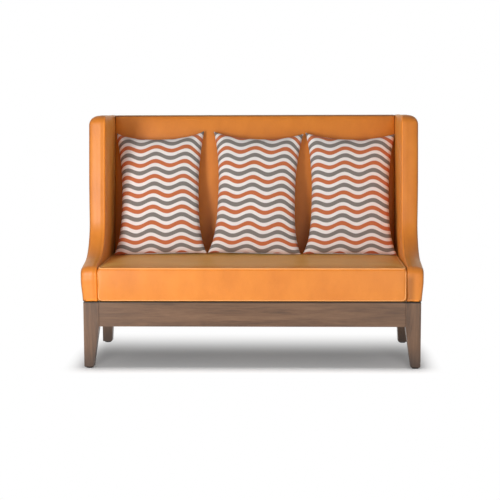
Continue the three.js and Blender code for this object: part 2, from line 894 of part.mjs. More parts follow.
function cushionGeometry() {
  const us = spaced(cushionColumns);
  const vs = spaced(cushionRows);
  const sheet = (side) => vs.flatMap((v) => us.map((u) => cushionPoint(u, v, side)));
  const points = [...sheet(-1), ...sheet(1)];
  const stride = us.length;
  const back = us.length * vs.length;
  const faces = [];
  for (let row = 0; row < cushionRows; row++) {
    for (let column = 0; column < cushionColumns; column++) {
      const p = row * stride + column;
      const [a, b, c, d] = [p, p + 1, p + 1 + stride, p + stride];
      faces.push([a, b, c], [a, c, d]);
      faces.push([back + c, back + b, back + a], [back + d, back + c, back + a]);
    }
  }
  const rim = [
    ...us.map((_, i) => i),
    ...vs.slice(1).map((_, i) => (i + 1) * stride + cushionColumns),
    ...us.slice(1).map((_, i) => cushionRows * stride + cushionColumns - 1 - i),
    ...vs.slice(2).map((_, i) => (cushionRows - 1 - i) * stride),
  ];
  rim.forEach((p, i) => {
    const q = rim[(i + 1) % rim.length];
    faces.push([p, back + q, q], [p, back + p, back + q]);
  });
  const geometry = new THREE.BufferGeometry();
  geometry.setAttribute(
    "position",
    new THREE.Float32BufferAttribute(
      points.flatMap((p) => p.toArray()),
      3,
    ),
  );
  geometry.setIndex(faces.flat());
  geometry.computeVertexNormals();
  return geometry;
}

// The same surface a distance further in.
function shrunk(geometry, distance) {
  const inner = geometry.clone();
  const { position, normal } = inner.attributes;
  for (let i = 0; i < position.count; i++) {
    const point = new THREE.Vector3().fromBufferAttribute(position, i);
    point.addScaledVector(new THREE.Vector3().fromBufferAttribute(normal, i), -distance);
    position.setXYZ(i, ...point.toArray());
  }
  return inner;
}

const cushionSurface = cushionGeometry();
const zipZ = cushionBottomDip + cushionWall;
const zipSolid = box(
  [-zipLength / 2, zipLength / 2],
  [-zipThickness / 2, zipThickness / 2],
  [cushionBottomDip, zipZ],
);
const zipSlit = box(
  grown([-zipLength / 2, zipLength / 2], fit),
  grown([-zipThickness / 2, zipThickness / 2], fit),
  [-overrun, zipZ + cushionWall],
);

// The hollow of the cover, or with a clearance the pad in it, both short of the sewn corners
function cushionFilling(clearance, bottom) {
  const half = cushionWidth / 2 - cushionEar - clearance;
  const top = cushionHeight - cushionEar - clearance;
  return solidOf(shrunk(cushionSurface, cushionWall + clearance)).intersect(
    box([-half, half], [-cushionThickness, cushionThickness], [bottom, top]),
  );
}

const cushionCover = solidOf(cushionSurface).subtract(cushionFilling(0, 0)).subtract(zipSlit);
const cushionPad = cushionFilling(fit, zipZ + fit);

// Leans a cushion until it touches the back and the seat.
function restCushion(group) {
  const backSlope = Math.tan(insideLean);
  const seatSlope = seatDrop / seatDepth;
  const points = cushionSurface.attributes.position;
  group.updateMatrix();
  let behind = -Infinity;
  let below = Infinity;
  for (let i = 0; i < points.count; i++) {
    const { y, z } = new THREE.Vector3().fromBufferAttribute(points, i).applyMatrix4(group.matrix);
    behind = Math.max(behind, y - backSlope * z);
    below = Math.min(below, z + seatSlope * y);
  }
  // The shift in Y and Z that brings both contacts to their planes
  const toBack = backInside(0, -fit) - behind;
  const toSeat = seatTop(0) + fit - below;
  group.position.z = (toSeat - seatSlope * toBack) / (1 + seatSlope * backSlope);
  group.position.y = toBack + backSlope * group.position.z;
}

cushionSides.forEach((side, i) => {
  const cushion = new THREE.Group();
  cushion.rotation.set(-cushionLean, cushionTilts[side], 0);
  restCushion(cushion);
  // The tilt turns the cushion about its bottom seam, so half of its swing is taken back.
  const swing = (cushionHeight / 2) * Math.sin(cushionTilts[side]);
  cushion.position.x = (i - cushionMiddle) * cushionPitch + cushionShifts[side] - swing;
  cushions.add(cushion);
  add(cushion, `${side}_cushion_cover`, cushionCover, print);
  add(cushion, `${side}_cushion_pad`, cushionPad, wadding);
  add(cushion, `${side}_cushion_zip`, zipSolid, zipTape);
});

export default settee;
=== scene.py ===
"""The looks of a high back settee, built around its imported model.

Lengths are in metres, in the model's frame: X to the viewer's right, Y from front to back, Z up.
"""

import math

import bpy
import numpy as np
from mathutils import Matrix, Vector
from mathutils.geometry import delaunay_2d_cdt


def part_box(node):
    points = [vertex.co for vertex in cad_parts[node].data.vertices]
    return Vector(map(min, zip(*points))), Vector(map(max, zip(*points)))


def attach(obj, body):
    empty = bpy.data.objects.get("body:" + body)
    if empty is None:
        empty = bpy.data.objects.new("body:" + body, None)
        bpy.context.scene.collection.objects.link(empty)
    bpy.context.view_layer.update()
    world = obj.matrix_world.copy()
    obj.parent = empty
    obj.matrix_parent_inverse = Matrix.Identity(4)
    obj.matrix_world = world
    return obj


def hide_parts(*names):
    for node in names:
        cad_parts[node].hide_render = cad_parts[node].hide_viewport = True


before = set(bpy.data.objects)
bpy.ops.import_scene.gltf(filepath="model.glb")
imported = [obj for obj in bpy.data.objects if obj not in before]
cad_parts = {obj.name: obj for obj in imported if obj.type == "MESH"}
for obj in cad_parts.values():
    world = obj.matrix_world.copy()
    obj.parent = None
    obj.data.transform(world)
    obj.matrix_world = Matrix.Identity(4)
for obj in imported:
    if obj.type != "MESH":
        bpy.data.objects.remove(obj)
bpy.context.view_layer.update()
scene = bpy.context.scene

# Sizes that the solids have too
WIDTH, DEPTH, HEIGHT = 1.524, 0.790, 1.114
FRONT, REAR = -DEPTH / 2, DEPTH / 2
BOTTOM = 0.3006  # of the upholstery
SEAT_TOP = 0.455
SEAT_DEPTH = 0.580
SEAT_DROP = 0.002
BODY_DEPTH = 0.660
BACK_THICKNESS = 0.100
BACK_BOARD = 0.0033  # thickness of the outside back
WING_THICKNESS = 0.076
WING_TOP_DROP = 0.002
WING_SET_BACK = 0.353
ELBOW_DEPTH, ELBOW_RISE, ELBOW_RADIUS = 0.281, 0.046, 0.190
TOP_RADIUS = NOSE_RADIUS = 0.040
NOSE_DROP = 0.055
TOE_SET_BACK = 0.012
CUSHION_WIDTH, CUSHION_HEIGHT, CUSHION_THICKNESS = 0.445, 0.606, 0.124
CUSHION_TAPER = 0.005
CUSHION_DRAW_IN, CUSHION_TOP_DIP, CUSHION_BOTTOM_DIP = 0.033, 0.031, 0.004
CUSHION_LEAN = math.radians(20.5)
CUSHION_TILTS = {"left": -1.3, "middle": 1.6, "right": 0.8}  # degrees

WING_OUTER = WIDTH / 2
WING_INNER = WING_OUTER - WING_THICKNESS
SEAT_HALF = WING_INNER - 0.0003
OUTSIDE_SLOPE = (DEPTH - BODY_DEPTH) / (HEIGHT - BOTTOM)
INSIDE_SLOPE = (DEPTH - BACK_THICKNESS - SEAT_DEPTH) / (HEIGHT - SEAT_TOP)

SEAT_CROWN, WING_CROWN, BACK_CROWN = 0.005, 0.003, 0.004  # how far the padding swells
SEAT_REACH, WING_REACH, BACK_REACH = 0.05, 0.022, 0.03  # how far in from its edge it takes to do so


def back_outside(z):
    return REAR - (HEIGHT - z) * OUTSIDE_SLOPE


def back_inside(z):
    return FRONT + SEAT_DEPTH + (z - SEAT_TOP) * INSIDE_SLOPE


# Meshes


def mesh_object(name, points, faces, uv=None):
    """A smooth mesh. uv gives the cloth's own coordinates at each point, in metres."""
    mesh = bpy.data.meshes.new(name)
    mesh.from_pydata([tuple(p) for p in points], [], [tuple(f) for f in faces])
    if uv is not None:
        layer = mesh.uv_layers.new(name="cloth")
        index = np.zeros(len(mesh.loops), np.int32)
        mesh.loops.foreach_get("vertex_index", index)
        layer.data.foreach_set("uv", np.asarray(uv, np.float32)[index].ravel())
    mesh.polygons.foreach_set("use_smooth", np.ones(len(mesh.polygons), bool))
    mesh.update()
    made = bpy.data.objects.new(name, mesh)
    scene.collection.objects.link(made)
    return made


def set_painted_shade(made, painted_shading):
    """How much darker, or below 0 lighter, the cloth is at each point: painted shade, and below 0 painted
    light.
    """
    layer = made.data.attributes.get("tone") or made.data.attributes.new("tone", "FLOAT", "POINT")
    layer.data.foreach_set("value", np.asarray(painted_shading, np.float32))


def outline(corners, inward, runs):
    """Points of an outline whose edges have moved in by the distance given for their names.

    A corner is (a, b, name of the edge that leaves it, radius, chords), and they go anticlockwise.
    runs gives how many points stand between each corner's arc and the next.
    """
    count = len(corners)
    places = [np.array(c[:2], float) for c in corners]
    lines = []
    for i in range(count):
        along = places[(i + 1) % count] - places[i]
        along /= np.linalg.norm(along)
        normal = np.array([-along[1], along[0]])
        lines.append((along, normal, normal @ places[i] + inward.get(corners[i][2], 0)))
    arcs = []
    for i, (_, _, _, radius, chords) in enumerate(corners):
        (d0, n0, o0), (d1, n1, o1) = lines[i - 1], lines[i]
        turn = n0[0] * n1[1] - n0[1] * n1[0]
        place = np.array([o0 * n1[1] - o1 * n0[1], o1 * n0[0] - o0 * n1[0]]) / turn
        if not chords:
            arcs.append([place])
            continue
        angle = math.atan2(turn, d0 @ d1)
        side = math.copysign(1, angle)
        bend = max(radius - side * inward.get(corners[i - 1][2], 0), 0.0004)
        start = place - d0 * bend * math.tan(abs(angle) / 2)
        centre = start + n0 * side * bend
        arm = start - centre
        arcs.append(
            [
                centre
                + arm * math.cos(angle * k / chords)
                + np.array([-arm[1], arm[0]]) * math.sin(angle * k / chords)
                for k in range(chords + 1)
            ]
        )
    points = []
    for i in range(count):
        points += arcs[i]
        a, b = arcs[i][-1], arcs[(i + 1) % count][0]
        points += [a + (b - a) * k / (runs[i] + 1) for k in range(1, runs[i] + 1)]
    return np.array(points)


def runs_of(corners, step):
    """How many points keep the straight parts of an outline divided into steps."""
    bare = outline(corners, {}, [0] * len(corners))
    runs, at = [], 0
    for _, _, _, _, chords in corners:
        at += chords + 1
        a, b = bare[at - 1], bare[at % len(bare)]
        runs.append(int(np.linalg.norm(b - a) / step))
    return runs


def cap(ring, spacing):
    """Points inside a closed ring, how far in each one is, and triangles that fill the ring. Their
    indices past the ring's own are those of the points."""
    low, high = ring.min(0), ring.max(0)
    grid = np.stack(
        np.meshgrid(*[np.arange(low[i] + spacing / 2, high[i], spacing) for i in (0, 1)]), -1
    ).reshape(-1, 2)
    start, end = ring, np.roll(ring, -1, 0)
    inside = np.zeros(len(grid), bool)
    far = np.full(len(grid), 1e9)
    # A point is inside if its ray crosses the ring an odd number of times
    for (x0, y0), (x1, y1) in zip(start, end):
        crosses = (y0 > grid[:, 1]) != (y1 > grid[:, 1])
        if crosses.any():
            inside ^= crosses & (grid[:, 0] < (x1 - x0) * (grid[:, 1] - y0) / (y1 - y0 + 1e-30) + x0)
        edge = np.array([x1 - x0, y1 - y0])
        share = np.clip(((grid - [x0, y0]) @ edge) / max(edge @ edge, 1e-12), 0, 1)
        far = np.minimum(far, np.linalg.norm(grid - [x0, y0] - share[:, None] * edge, axis=1))
    keep = inside & (far > spacing * 0.6)
    points = np.concatenate([ring, grid[keep]])
    edges = [(i, (i + 1) % len(ring)) for i in range(len(ring))]
    _, _, triangles, origin, _, _ = delaunay_2d_cdt(
        [Vector(p) for p in points], edges, [list(range(len(ring)))], 1, 1e-7
    )
    given = [o[0] for o in origin]
    return grid[keep], far[keep], [[given[i] for i in t] for t in triangles]


def loft(name, corners, stations, place, step, spacing):
    """A closed mesh that joins outlines. A station is (offset, insets by edge name, depth into the face,
    tone of the cloth, which is painted shade, or below 0 painted light). place turns arrays of offset, a, b
    and depth into points. The end stations are capped, and a cap's points go on from its station's depth."""
    runs = runs_of(corners, step)
    rings = [outline(corners, insets, runs) for _, insets, _, _ in stations]
    count = len(rings[0])
    flat = [np.concatenate(rings)]
    offsets = [np.repeat([s[0] for s in stations], count)]
    depths = [np.repeat([s[2] for s in stations], count)]
    faces = []
    for k in range(len(rings) - 1):
        for i in range(count):
            j = (i + 1) % count
            a = k * count
            faces.append((a + i, a + j, a + count + j, a + count + i))
    for end, (offset, _, depth, _) in ((0, stations[0]), (len(rings) - 1, stations[-1])):
        extra, far, triangles = cap(rings[end], spacing)
        base = sum(len(f) for f in flat)
        flat.append(extra)
        offsets.append(np.full(len(extra), offset))
        depths.append(depth + far)
        for t in triangles:
            t = [end * count + i if i < count else base + i - count for i in t]
            faces.append(tuple(t) if end else tuple(reversed(t)))
    ab = np.concatenate(flat)
    points = place(np.concatenate(offsets), ab[:, 0], ab[:, 1], np.concatenate(depths))
    painted_shading = np.zeros(len(ab))
    painted_shading[: len(rings) * count] = np.repeat([s[3] for s in stations], count)
    made = mesh_object(name, points, faces)
    set_painted_shade(made, painted_shading)
    return made


def facing_out(made):
    """Turns the faces of a closed mesh outwards."""
    mesh = made.data
    mesh.calc_loop_triangles()
    co = np.array([v.co for v in mesh.vertices])
    t = np.array([tri.vertices[:] for tri in mesh.loop_triangles])
    a, b, c = co[t[:, 0]], co[t[:, 1]], co[t[:, 2]]
    if np.einsum("ij,ij->i", a, np.cross(b, c)).sum() < 0:
        mesh.flip_normals()
    return made


def mirrored(made, name):
    copy = made.copy()
    copy.data = made.data.copy()
    copy.name = copy.data.name = name
    copy.data.transform(Matrix.Scale(-1, 4, Vector((1, 0, 0))))
    copy.data.flip_normals()
    scene.collection.objects.link(copy)
    return copy


def points_of(made):
    co = np.zeros(len(made.data.vertices) * 3, np.float32)
    made.data.vertices.foreach_get("co", co)
    return co.reshape(-1, 3).astype(float)


def set_points(made, co):
    made.data.vertices.foreach_set("co", np.asarray(co, np.float32).ravel())
    made.data.update()


def smoothstep(x):
    x = np.clip(x, 0, 1)
    return x * x * (3 - 2 * x)


def ripple(co, scale, seed):
    """A smooth random field of about unit size, made of a few sine waves."""
    random = np.random.default_rng(seed)
    out = np.zeros(len(co))
    for _ in range(7):
        way = random.normal(size=3)
        way /= np.linalg.norm(way)
        out += np.sin(co @ way * (2 * math.pi / (scale * random.uniform(0.6, 1.7))) + random.uniform(0, 6.3))
    return out / 2.6


# Materials


def node(tree, kind, values=None, **settings):
    made = tree.nodes.new("ShaderNode" + kind)
    for key, value in settings.items():
        setattr(made, key, value)
    for key, value in (values or {}).items():
        if isinstance(value, bpy.types.NodeSocket):
            tree.links.new(value, made.inputs[key])
        else:
            made.inputs[key].default_value = value
    return made


def maths(tree, operation, *values):
    return node(tree, "Math", dict(enumerate(values)), operation=operation).outputs[0]


def ramp(tree, fac, stops):
    made = node(tree, "ValToRGB", {"Fac": fac})
    elements = made.color_ramp.elements
    while len(elements) < len(stops):
        elements.new(0.5)
    for element, (at, colour) in zip(elements, stops):
        element.position = at
        element.color = (*colour, 1)
    return made.outputs["Color"]


def noise(tree, vector, scale, detail=4, rough=0.5):
    values = {"Vector": vector, "Scale": scale, "Detail": detail, "Roughness": rough}
    return node(tree, "TexNoise", values).outputs["Fac"]


def stretched(tree, vector, scale):
    return node(tree, "Mapping", {"Vector": vector, "Scale": scale}).outputs["Vector"]


def bump(tree, height, distance, strength=1.0, normal=None):
    values = {"Height": height, "Distance": distance, "Strength": strength}
    if normal is not None:
        values["Normal"] = normal
    return node(tree, "Bump", values).outputs["Normal"]


def material(name, **sockets):
    """A material with a principled shader. Returns it, its tree, its shader and the object coordinates."""
    made = bpy.data.materials.new(name)
    made.use_nodes = True
    tree = made.node_tree
    shader = tree.nodes["Principled BSDF"]
    for key, value in sockets.items():
        shader.inputs[key.replace("_", " ")].default_value = value
    where = node(tree, "TexCoord").outputs["Object"]
    return made, tree, shader, where


def velvet(name, colours, sheen):
    """Short pile with a fine nap and brushed patches, darkened by painted shade and lightened by painted
    light where the mesh's tone says.
    """
    made, tree, shader, where = material(
        name, Roughness=0.43, Specular_IOR_Level=0.48, Sheen_Weight=sheen, Sheen_Roughness=0.3
    )
    shader.inputs["Sheen Tint"].default_value = (1.0, 0.86, 0.29, 1)
    patches = noise(tree, stretched(tree, where, (1, 1, 0.6)), 9, 5, 0.6)
    nap = noise(tree, where, 420, 3, 0.7)
    mixed = maths(tree, "MULTIPLY_ADD", nap, 0.25, maths(tree, "MULTIPLY", patches, 0.75))
    # The tone attribute is painted shade, and below 0 painted light
    tone = node(tree, "Attribute", attribute_name="tone").outputs["Fac"]
    shade = maths(tree, "MULTIPLY_ADD", tone, -0.78, 1.0)
    toned = node(tree, "VectorMath", {0: ramp(tree, mixed, colours), "Scale": shade}, operation="SCALE")
    tree.links.new(toned.outputs["Vector"], shader.inputs["Base Color"])
    fine = bump(tree, nap, 0.0006, 0.5)
    soft = bump(tree, patches, 0.006, 0.35, fine)
    tree.links.new(soft, shader.inputs["Normal"])
    return made


def wood(name, axis, colours, shine=0.37, painted_shades=()):
    """Timber whose grain runs along one axis. A painted shade is (low, high, share at low, share at high),
    and leaves that share of the colour by height."""
    made, tree, shader, where = material(name, Roughness=shine, Coat_Weight=0.12, Coat_Roughness=0.35)
    long = stretched(tree, where, [1.0 if i == axis else 14.0 for i in range(3)])
    wide = noise(tree, long, 2.2, 6, 0.6)
    drift = node(tree, "TexNoise", {"Vector": long, "Scale": 1.4}).outputs["Color"]
    warp = node(tree, "VectorMath", {0: long, 1: drift})
    rings = noise(tree, warp.outputs["Vector"], 5.5, 8, 0.68)
    pores = noise(tree, stretched(tree, where, [9.0 if i == axis else 260.0 for i in range(3)]), 3.2, 2, 0.6)
    tone = maths(tree, "MULTIPLY_ADD", rings, 0.5, maths(tree, "MULTIPLY", wide, 0.5))
    tone = maths(tree, "SUBTRACT", tone, maths(tree, "MULTIPLY", maths(tree, "SUBTRACT", pores, 0.5), 0.22))
    colour = ramp(tree, tone, colours)
    for low, high, start, end in painted_shades:
        height = node(tree, "SeparateXYZ", {0: where}).outputs[2]
        limits = {"Value": height, 1: low, 2: high, 3: start, 4: end}
        shade = node(tree, "MapRange", limits, interpolation_type="SMOOTHSTEP").outputs["Result"]
        darkened = node(tree, "VectorMath", {0: colour, "Scale": shade}, operation="SCALE")
        colour = darkened.outputs["Vector"]
    tree.links.new(colour, shader.inputs["Base Color"])
    rough = maths(tree, "MULTIPLY_ADD", pores, 0.25, shine - 0.1)
    tree.links.new(rough, shader.inputs["Roughness"])
    tree.links.new(bump(tree, pores, 0.0004, 0.5), shader.inputs["Normal"])
    return made


def plain(name, colours, scale, distance, **sockets):
    """A moulded, cast or non-woven surface with a fine texture."""
    made, tree, shader, where = material(name, **sockets)
    grain = noise(tree, where, scale, 5, 0.6)
    tree.links.new(ramp(tree, grain, colours), shader.inputs["Base Color"])
    tree.links.new(bump(tree, grain, distance, 0.6), shader.inputs["Normal"])
    return made


def woven(tree, across, along, pitch):
    """Height of a plain weave with threads every pitch."""
    a = maths(tree, "SINE", maths(tree, "MULTIPLY", across, 2 * math.pi / pitch))
    b = maths(tree, "SINE", maths(tree, "MULTIPLY", along, 2 * math.pi / pitch))
    return maths(tree, "MULTIPLY", a, b)


GREY, ORANGE, WHITE = (0.228, 0.205, 0.182), (0.59, 0.158, 0.052), (0.915, 0.865, 0.835)
# Where a period's colours change, as shares of it, and half of the share over which they do
STRIPE_EDGES = ((0.10, WHITE, GREY), (0.372, GREY, WHITE), (0.60, WHITE, ORANGE), (0.872, ORANGE, WHITE))
STRIPE_BLUR = 0.013
WAVE_LENGTH, WAVE_HEIGHT = 0.151, 0.0122
WOBBLE = 0.006  # of a stripe's height
# The stripes droop to the sides with the distance squared, more so past EDGE, and less towards the bottom
DROOP, EDGE_DROOP, EDGE = 0.50, 3.3, 0.14
DROOP_GAIN, DROOP_MIDDLE, LEAST_DROOP = 1.6, 0.62, 0.1
LOW, LOW_CROWDING = -0.19, 1.1  # below this height the stripes stand closer
THREAD_PITCH = 0.0016


def printed(name, period, stripe_shift, wave_shift, slant, slope):
    """Woven cotton printed with wavy stripes, laid out on the cloth's own coordinates in metres."""
    made, tree, shader, _ = material(name, Roughness=0.85, Sheen_Weight=0.12, Sheen_Roughness=0.5)
    cloth = node(tree, "UVMap", uv_map="cloth").outputs["UV"]
    split = node(tree, "SeparateXYZ", {0: cloth}).outputs
    x, z = split[0], split[1]
    wobble = maths(tree, "SUBTRACT", noise(tree, cloth, 14, 2), 0.5)
    crest = maths(tree, "MULTIPLY_ADD", z, slant, wave_shift)
    low = maths(tree, "MAXIMUM", maths(tree, "SUBTRACT", LOW, z), 0.0)
    turn = maths(tree, "MULTIPLY", maths(tree, "SUBTRACT", x, crest), 2 * math.pi / WAVE_LENGTH)
    level = maths(tree, "MULTIPLY_ADD", maths(tree, "COSINE", turn), -WAVE_HEIGHT, z)
    level = maths(tree, "MULTIPLY_ADD", maths(tree, "MULTIPLY", low, low), -LOW_CROWDING, level)
    level = maths(tree, "MULTIPLY_ADD", wobble, WOBBLE, level)
    edge = maths(tree, "MAXIMUM", maths(tree, "SUBTRACT", maths(tree, "ABSOLUTE", x), EDGE), 0.0)
    droop = maths(tree, "MULTIPLY", maths(tree, "MULTIPLY", edge, edge), EDGE_DROOP)
    droop = maths(tree, "MULTIPLY_ADD", maths(tree, "MULTIPLY", x, x), DROOP, droop)
    hang = maths(tree, "MAXIMUM", maths(tree, "MULTIPLY_ADD", z, DROOP_GAIN, DROOP_MIDDLE), LEAST_DROOP)
    level = maths(tree, "MULTIPLY_ADD", droop, maths(tree, "MINIMUM", hang, 1.0), level)
    level = maths(tree, "MULTIPLY_ADD", x, -slope, level)
    raised = maths(tree, "ADD", level, stripe_shift + 10 * period)
    share = maths(tree, "FRACT", maths(tree, "DIVIDE", raised, period))
    stops = [(at + side * STRIPE_BLUR, pair[side > 0]) for at, *pair in STRIPE_EDGES for side in (-1, 1)]
    bands = ramp(tree, share, stops)
    faded = noise(tree, cloth, 7, 4)
    fine = noise(tree, cloth, 900, 2)
    shade = maths(tree, "MULTIPLY_ADD", faded, 0.16, maths(tree, "MULTIPLY_ADD", fine, 0.14, 0.85))
    colour = node(tree, "Mix", data_type="RGBA", blend_type="MULTIPLY")
    colour.inputs["Factor"].default_value = 1
    tree.links.new(bands, colour.inputs[6])
    tree.links.new(shade, colour.inputs[7])
    tree.links.new(colour.outputs[2], shader.inputs["Base Color"])
    tree.links.new(bump(tree, woven(tree, x, z, THREAD_PITCH), 0.0002, 0.5), shader.inputs["Normal"])
    return made


ORANGE_CLOTH = [(0.30, (0.61, 0.173, 0.010)), (0.52, (0.69, 0.209, 0.015)), (0.75, (0.76, 0.248, 0.022))]
# A lighter copy of the orange velvet, which paints a highlight along the piping
PIPING_HIGHLIGHT_CLOTH = [(0.30, (0.79, 0.32, 0.085)), (0.70, (0.88, 0.39, 0.12))]
WALNUT = [
    (0.34, (0.060, 0.027, 0.011)),
    (0.48, (0.123, 0.058, 0.025)),
    (0.58, (0.164, 0.081, 0.037)),
    (0.72, (0.224, 0.119, 0.063)),
]
# Painted shade on the walnut: a painted shadow just under the upholstery, and a painted shade that darkens it
# towards the floor
WALNUT_PAINTED_SHADES = ((BOTTOM - 0.0075, BOTTOM - 0.0035, 1.0, 0.22), (0.0, 0.125, 0.40, 1.0))
BEECH = [(0.3, (0.42, 0.28, 0.15)), (0.7, (0.58, 0.41, 0.24))]

velvet_cloth = velvet("orange_velvet", ORANGE_CLOTH, 0.36)
piping_highlight_cloth = velvet("orange_piping_highlight", PIPING_HIGHLIGHT_CLOTH, 0.50)
ways = list(enumerate(("along", "deep", "upright")))
walnut = [wood(f"walnut_{way}", axis, WALNUT, painted_shades=WALNUT_PAINTED_SHADES) for axis, way in ways]
beech = [wood(f"beech_{way}", axis, BEECH, 0.7) for axis, way in ways]
BLACK_PLASTIC = [(0.3, (0.012, 0.01, 0.009)), (0.7, (0.03, 0.026, 0.024))]
GREY_METAL = [(0.3, (0.42, 0.42, 0.41)), (0.7, (0.6, 0.6, 0.58))]
BLACK_CLOTH = [(0.3, (0.01, 0.01, 0.01)), (0.7, (0.03, 0.029, 0.028))]
PALE_PLASTIC = [(0.3, (0.55, 0.52, 0.49)), (0.7, (0.7, 0.67, 0.64))]
BLACK_STRAP = [(0.4, (0.02, 0.018, 0.016)), (0.6, (0.06, 0.05, 0.045))]
glide_plastic = plain("glide_plastic", BLACK_PLASTIC, 700, 0.0001, Roughness=0.55)
zinc = plain("zinc", GREY_METAL, 500, 0.00005, Roughness=0.35, Metallic=1.0)
dust_cloth = plain("dust_cloth", BLACK_CLOTH, 900, 0.0002, Roughness=0.95)
zip_plastic = plain("zip_plastic", PALE_PLASTIC, 900, 0.0002, Roughness=0.5)
strap = plain("webbing", BLACK_STRAP, 600, 0.0003, Roughness=0.9)

# The solids that stay

CROSSWISE_RAILS = ("base_cross_rail", "seat_left_rail", "seat_right_rail", "seat_centre_rail")


def dress(name, given, bevel=0.0):
    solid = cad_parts[name]
    solid.data.materials.clear()
    solid.data.materials.append(given)
    if bevel:
        rounding = solid.modifiers.new("rounding", "BEVEL")
        rounding.width, rounding.segments = bevel, 3
        rounding.limit_method, rounding.angle_limit = "ANGLE", math.radians(35)
        rounding.harden_normals = True
        solid.data.polygons.foreach_set("use_smooth", np.ones(len(solid.data.polygons), bool))


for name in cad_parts:
    if name.endswith("_leg"):
        dress(name, walnut[2], 0.0022)
    elif name.endswith("_apron"):
        dress(name, walnut[1] if name in ("left_apron", "right_apron") else walnut[0], 0.0012)
    elif name.endswith("_glide"):
        dress(name, glide_plastic, 0.0008)
    elif name.endswith("_leg_bolt"):
        dress(name, zinc)
    elif name.endswith("_zip"):
        dress(name, zip_plastic)
    elif name.endswith("_webbing"):
        dress(name, strap)
    elif name.endswith("_post") or name.endswith("_panel"):
        dress(name, beech[2])
    elif name.endswith("_corner_block") or name in CROSSWISE_RAILS:
        dress(name, beech[1], 0.001)
    elif name.endswith("_rail"):
        dress(name, beech[0])

# Upholstery: padded pieces lofted across their thickness, with a pillow on each face

# How far in from its edge each ring of a wing's faces stands
INNER_DEPTHS = (0.036, 0.026, 0.017, 0.010, 0.005, 0.002)
OUTER_DEPTHS = (0.001, 0.002, 0.003, 0.006, 0.012, 0.022)
SIDE_SEAM, SIDE_SEAM_DIP = OUTER_DEPTHS[1], 0.0009  # where the side's seam is, and how deep


def pillow(depth, rise, reach):
    """How far a face stands out at a depth into it."""
    return rise * (1 - np.exp(-np.asarray(depth) / reach))


def finish_piece(made, body, given, *nodes, slot="velvet", fill=None):
    facing_out(made)
    made.data.materials.clear()
    made.data.materials.append(given)
    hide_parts(*nodes)
    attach(made, body)
    return made


# Wings

WING_CORNERS = [
    (FRONT + TOE_SET_BACK, BOTTOM, "bottom", 0.006, 3),
    (back_outside(BOTTOM) - BACK_BOARD, BOTTOM, "rear", 0, 0),
    (REAR - BACK_BOARD, HEIGHT, "top", 0, 0),
    (FRONT + WING_SET_BACK, HEIGHT - WING_TOP_DROP, "wing", TOP_RADIUS, 9),
    (FRONT + ELBOW_DEPTH, SEAT_TOP + ELBOW_RISE, "arm", ELBOW_RADIUS, 24),
    (FRONT, SEAT_TOP, "nose", NOSE_RADIUS, 10),
    (FRONT, SEAT_TOP - NOSE_DROP, "toe", 0.08, 5),
]
INNER_EDGE, BOTTOM_EDGE, REAR_EDGE = 0.009, 0.007, 0.004
OUTER_RUN = 0.042  # how far across the band its outer rounding reaches
OUTER_EDGE = {"top": 0.040, "wing": 0.014, "arm": 0.018, "nose": 0.013, "toe": 0.011}
SEAM_DIP, SEAM_HALF = 0.0006, 0.0016
BAND_CROWN = 0.0012  # how far the band swells between its seam and its outer rounding
OUTER_CROWN = 0.0022
OUTER_FACE = WING_OUTER - OUTER_CROWN
# Painted light and shade on the wings: a painted highlight round the inner edge, and painted shade round the
# outer edge and along the outer side next to it
INNER_PAINTED_LIGHT = (0, 0, -0.1, -0.26, -0.26, -0.06)  # round the inner edge
OUTER_PAINTED_SHADE = (0, 0, 0, 0, 0, 0.1, 0.3, 0.6, 0.8, 0.8)  # round the outer edge
SIDE_PAINTED_SHADE = (0.8, 0.8, 0.5, 0.2, 0, 0)
# The outer side is pulled in at the arm's foot, and stands out a little above it
TUCK, TUCK_TOP, TUCK_RUN = 0.006, 0.40, 0.10
STAND_OUT, STAND_OUT_BOTTOM, STAND_OUT_RUN = 0.0032, 0.55, 0.3
TOP_CROWN, TOP_CROWN_DROP, TOP_CROWN_RUN = 0.0065, 0.07, 0.40  # the crown of the top's front


def wing_stations():
    """Across a wing from its inner face to its outer one."""

    def station(x, inner, outer, depth, tone=0.0):
        low = 0.0
        for toward in (x - WING_INNER, OUTER_FACE - x):
            if toward < BOTTOM_EDGE:
                low = BOTTOM_EDGE * (1 - math.sqrt(max(0, 1 - (1 - toward / BOTTOM_EDGE) ** 2)))
        insets = {edge: inner + outer * most for edge, most in OUTER_EDGE.items()}
        insets.update(bottom=low + depth, rear=min(low, REAR_EDGE) + depth)
        return (x, insets, depth, tone)

    made = [station(WING_INNER, INNER_EDGE + d, 0, d) for d in INNER_DEPTHS]
    for k, tone in enumerate(INNER_PAINTED_LIGHT):
        angle = math.pi / 2 * k / (len(INNER_PAINTED_LIGHT) - 1)
        across = WING_INNER + INNER_EDGE * (1 - math.cos(angle))
        made.append(station(across, INNER_EDGE * (1 - math.sin(angle)), 0, 0.0, tone))
    seam = WING_INNER + INNER_EDGE + 0.002
    band_end = OUTER_FACE - OUTER_RUN
    for x, dip in ((seam - SEAM_HALF, 0), (seam, SEAM_DIP), (seam + SEAM_HALF, 0)):
        made.append(station(x, dip, 0, 0.0))
    for k in range(1, 5):
        share = k / 4
        x = seam + SEAM_HALF + (band_end - seam - SEAM_HALF) * share
        made.append(station(x, -BAND_CROWN * math.sin(math.pi * min(share, 0.999)), 0, 0.0))
    for k, tone in enumerate(OUTER_PAINTED_SHADE, 1):
        angle = math.pi / 2 * k / len(OUTER_PAINTED_SHADE)
        made.append(station(band_end + OUTER_RUN * math.sin(angle), 0, 1 - math.cos(angle), 0.0, tone))
    for d, tone in zip(OUTER_DEPTHS, SIDE_PAINTED_SHADE):
        made.append(station(OUTER_FACE - (SIDE_SEAM_DIP if d == SIDE_SEAM else 0), d, 1, d, tone))
    return made


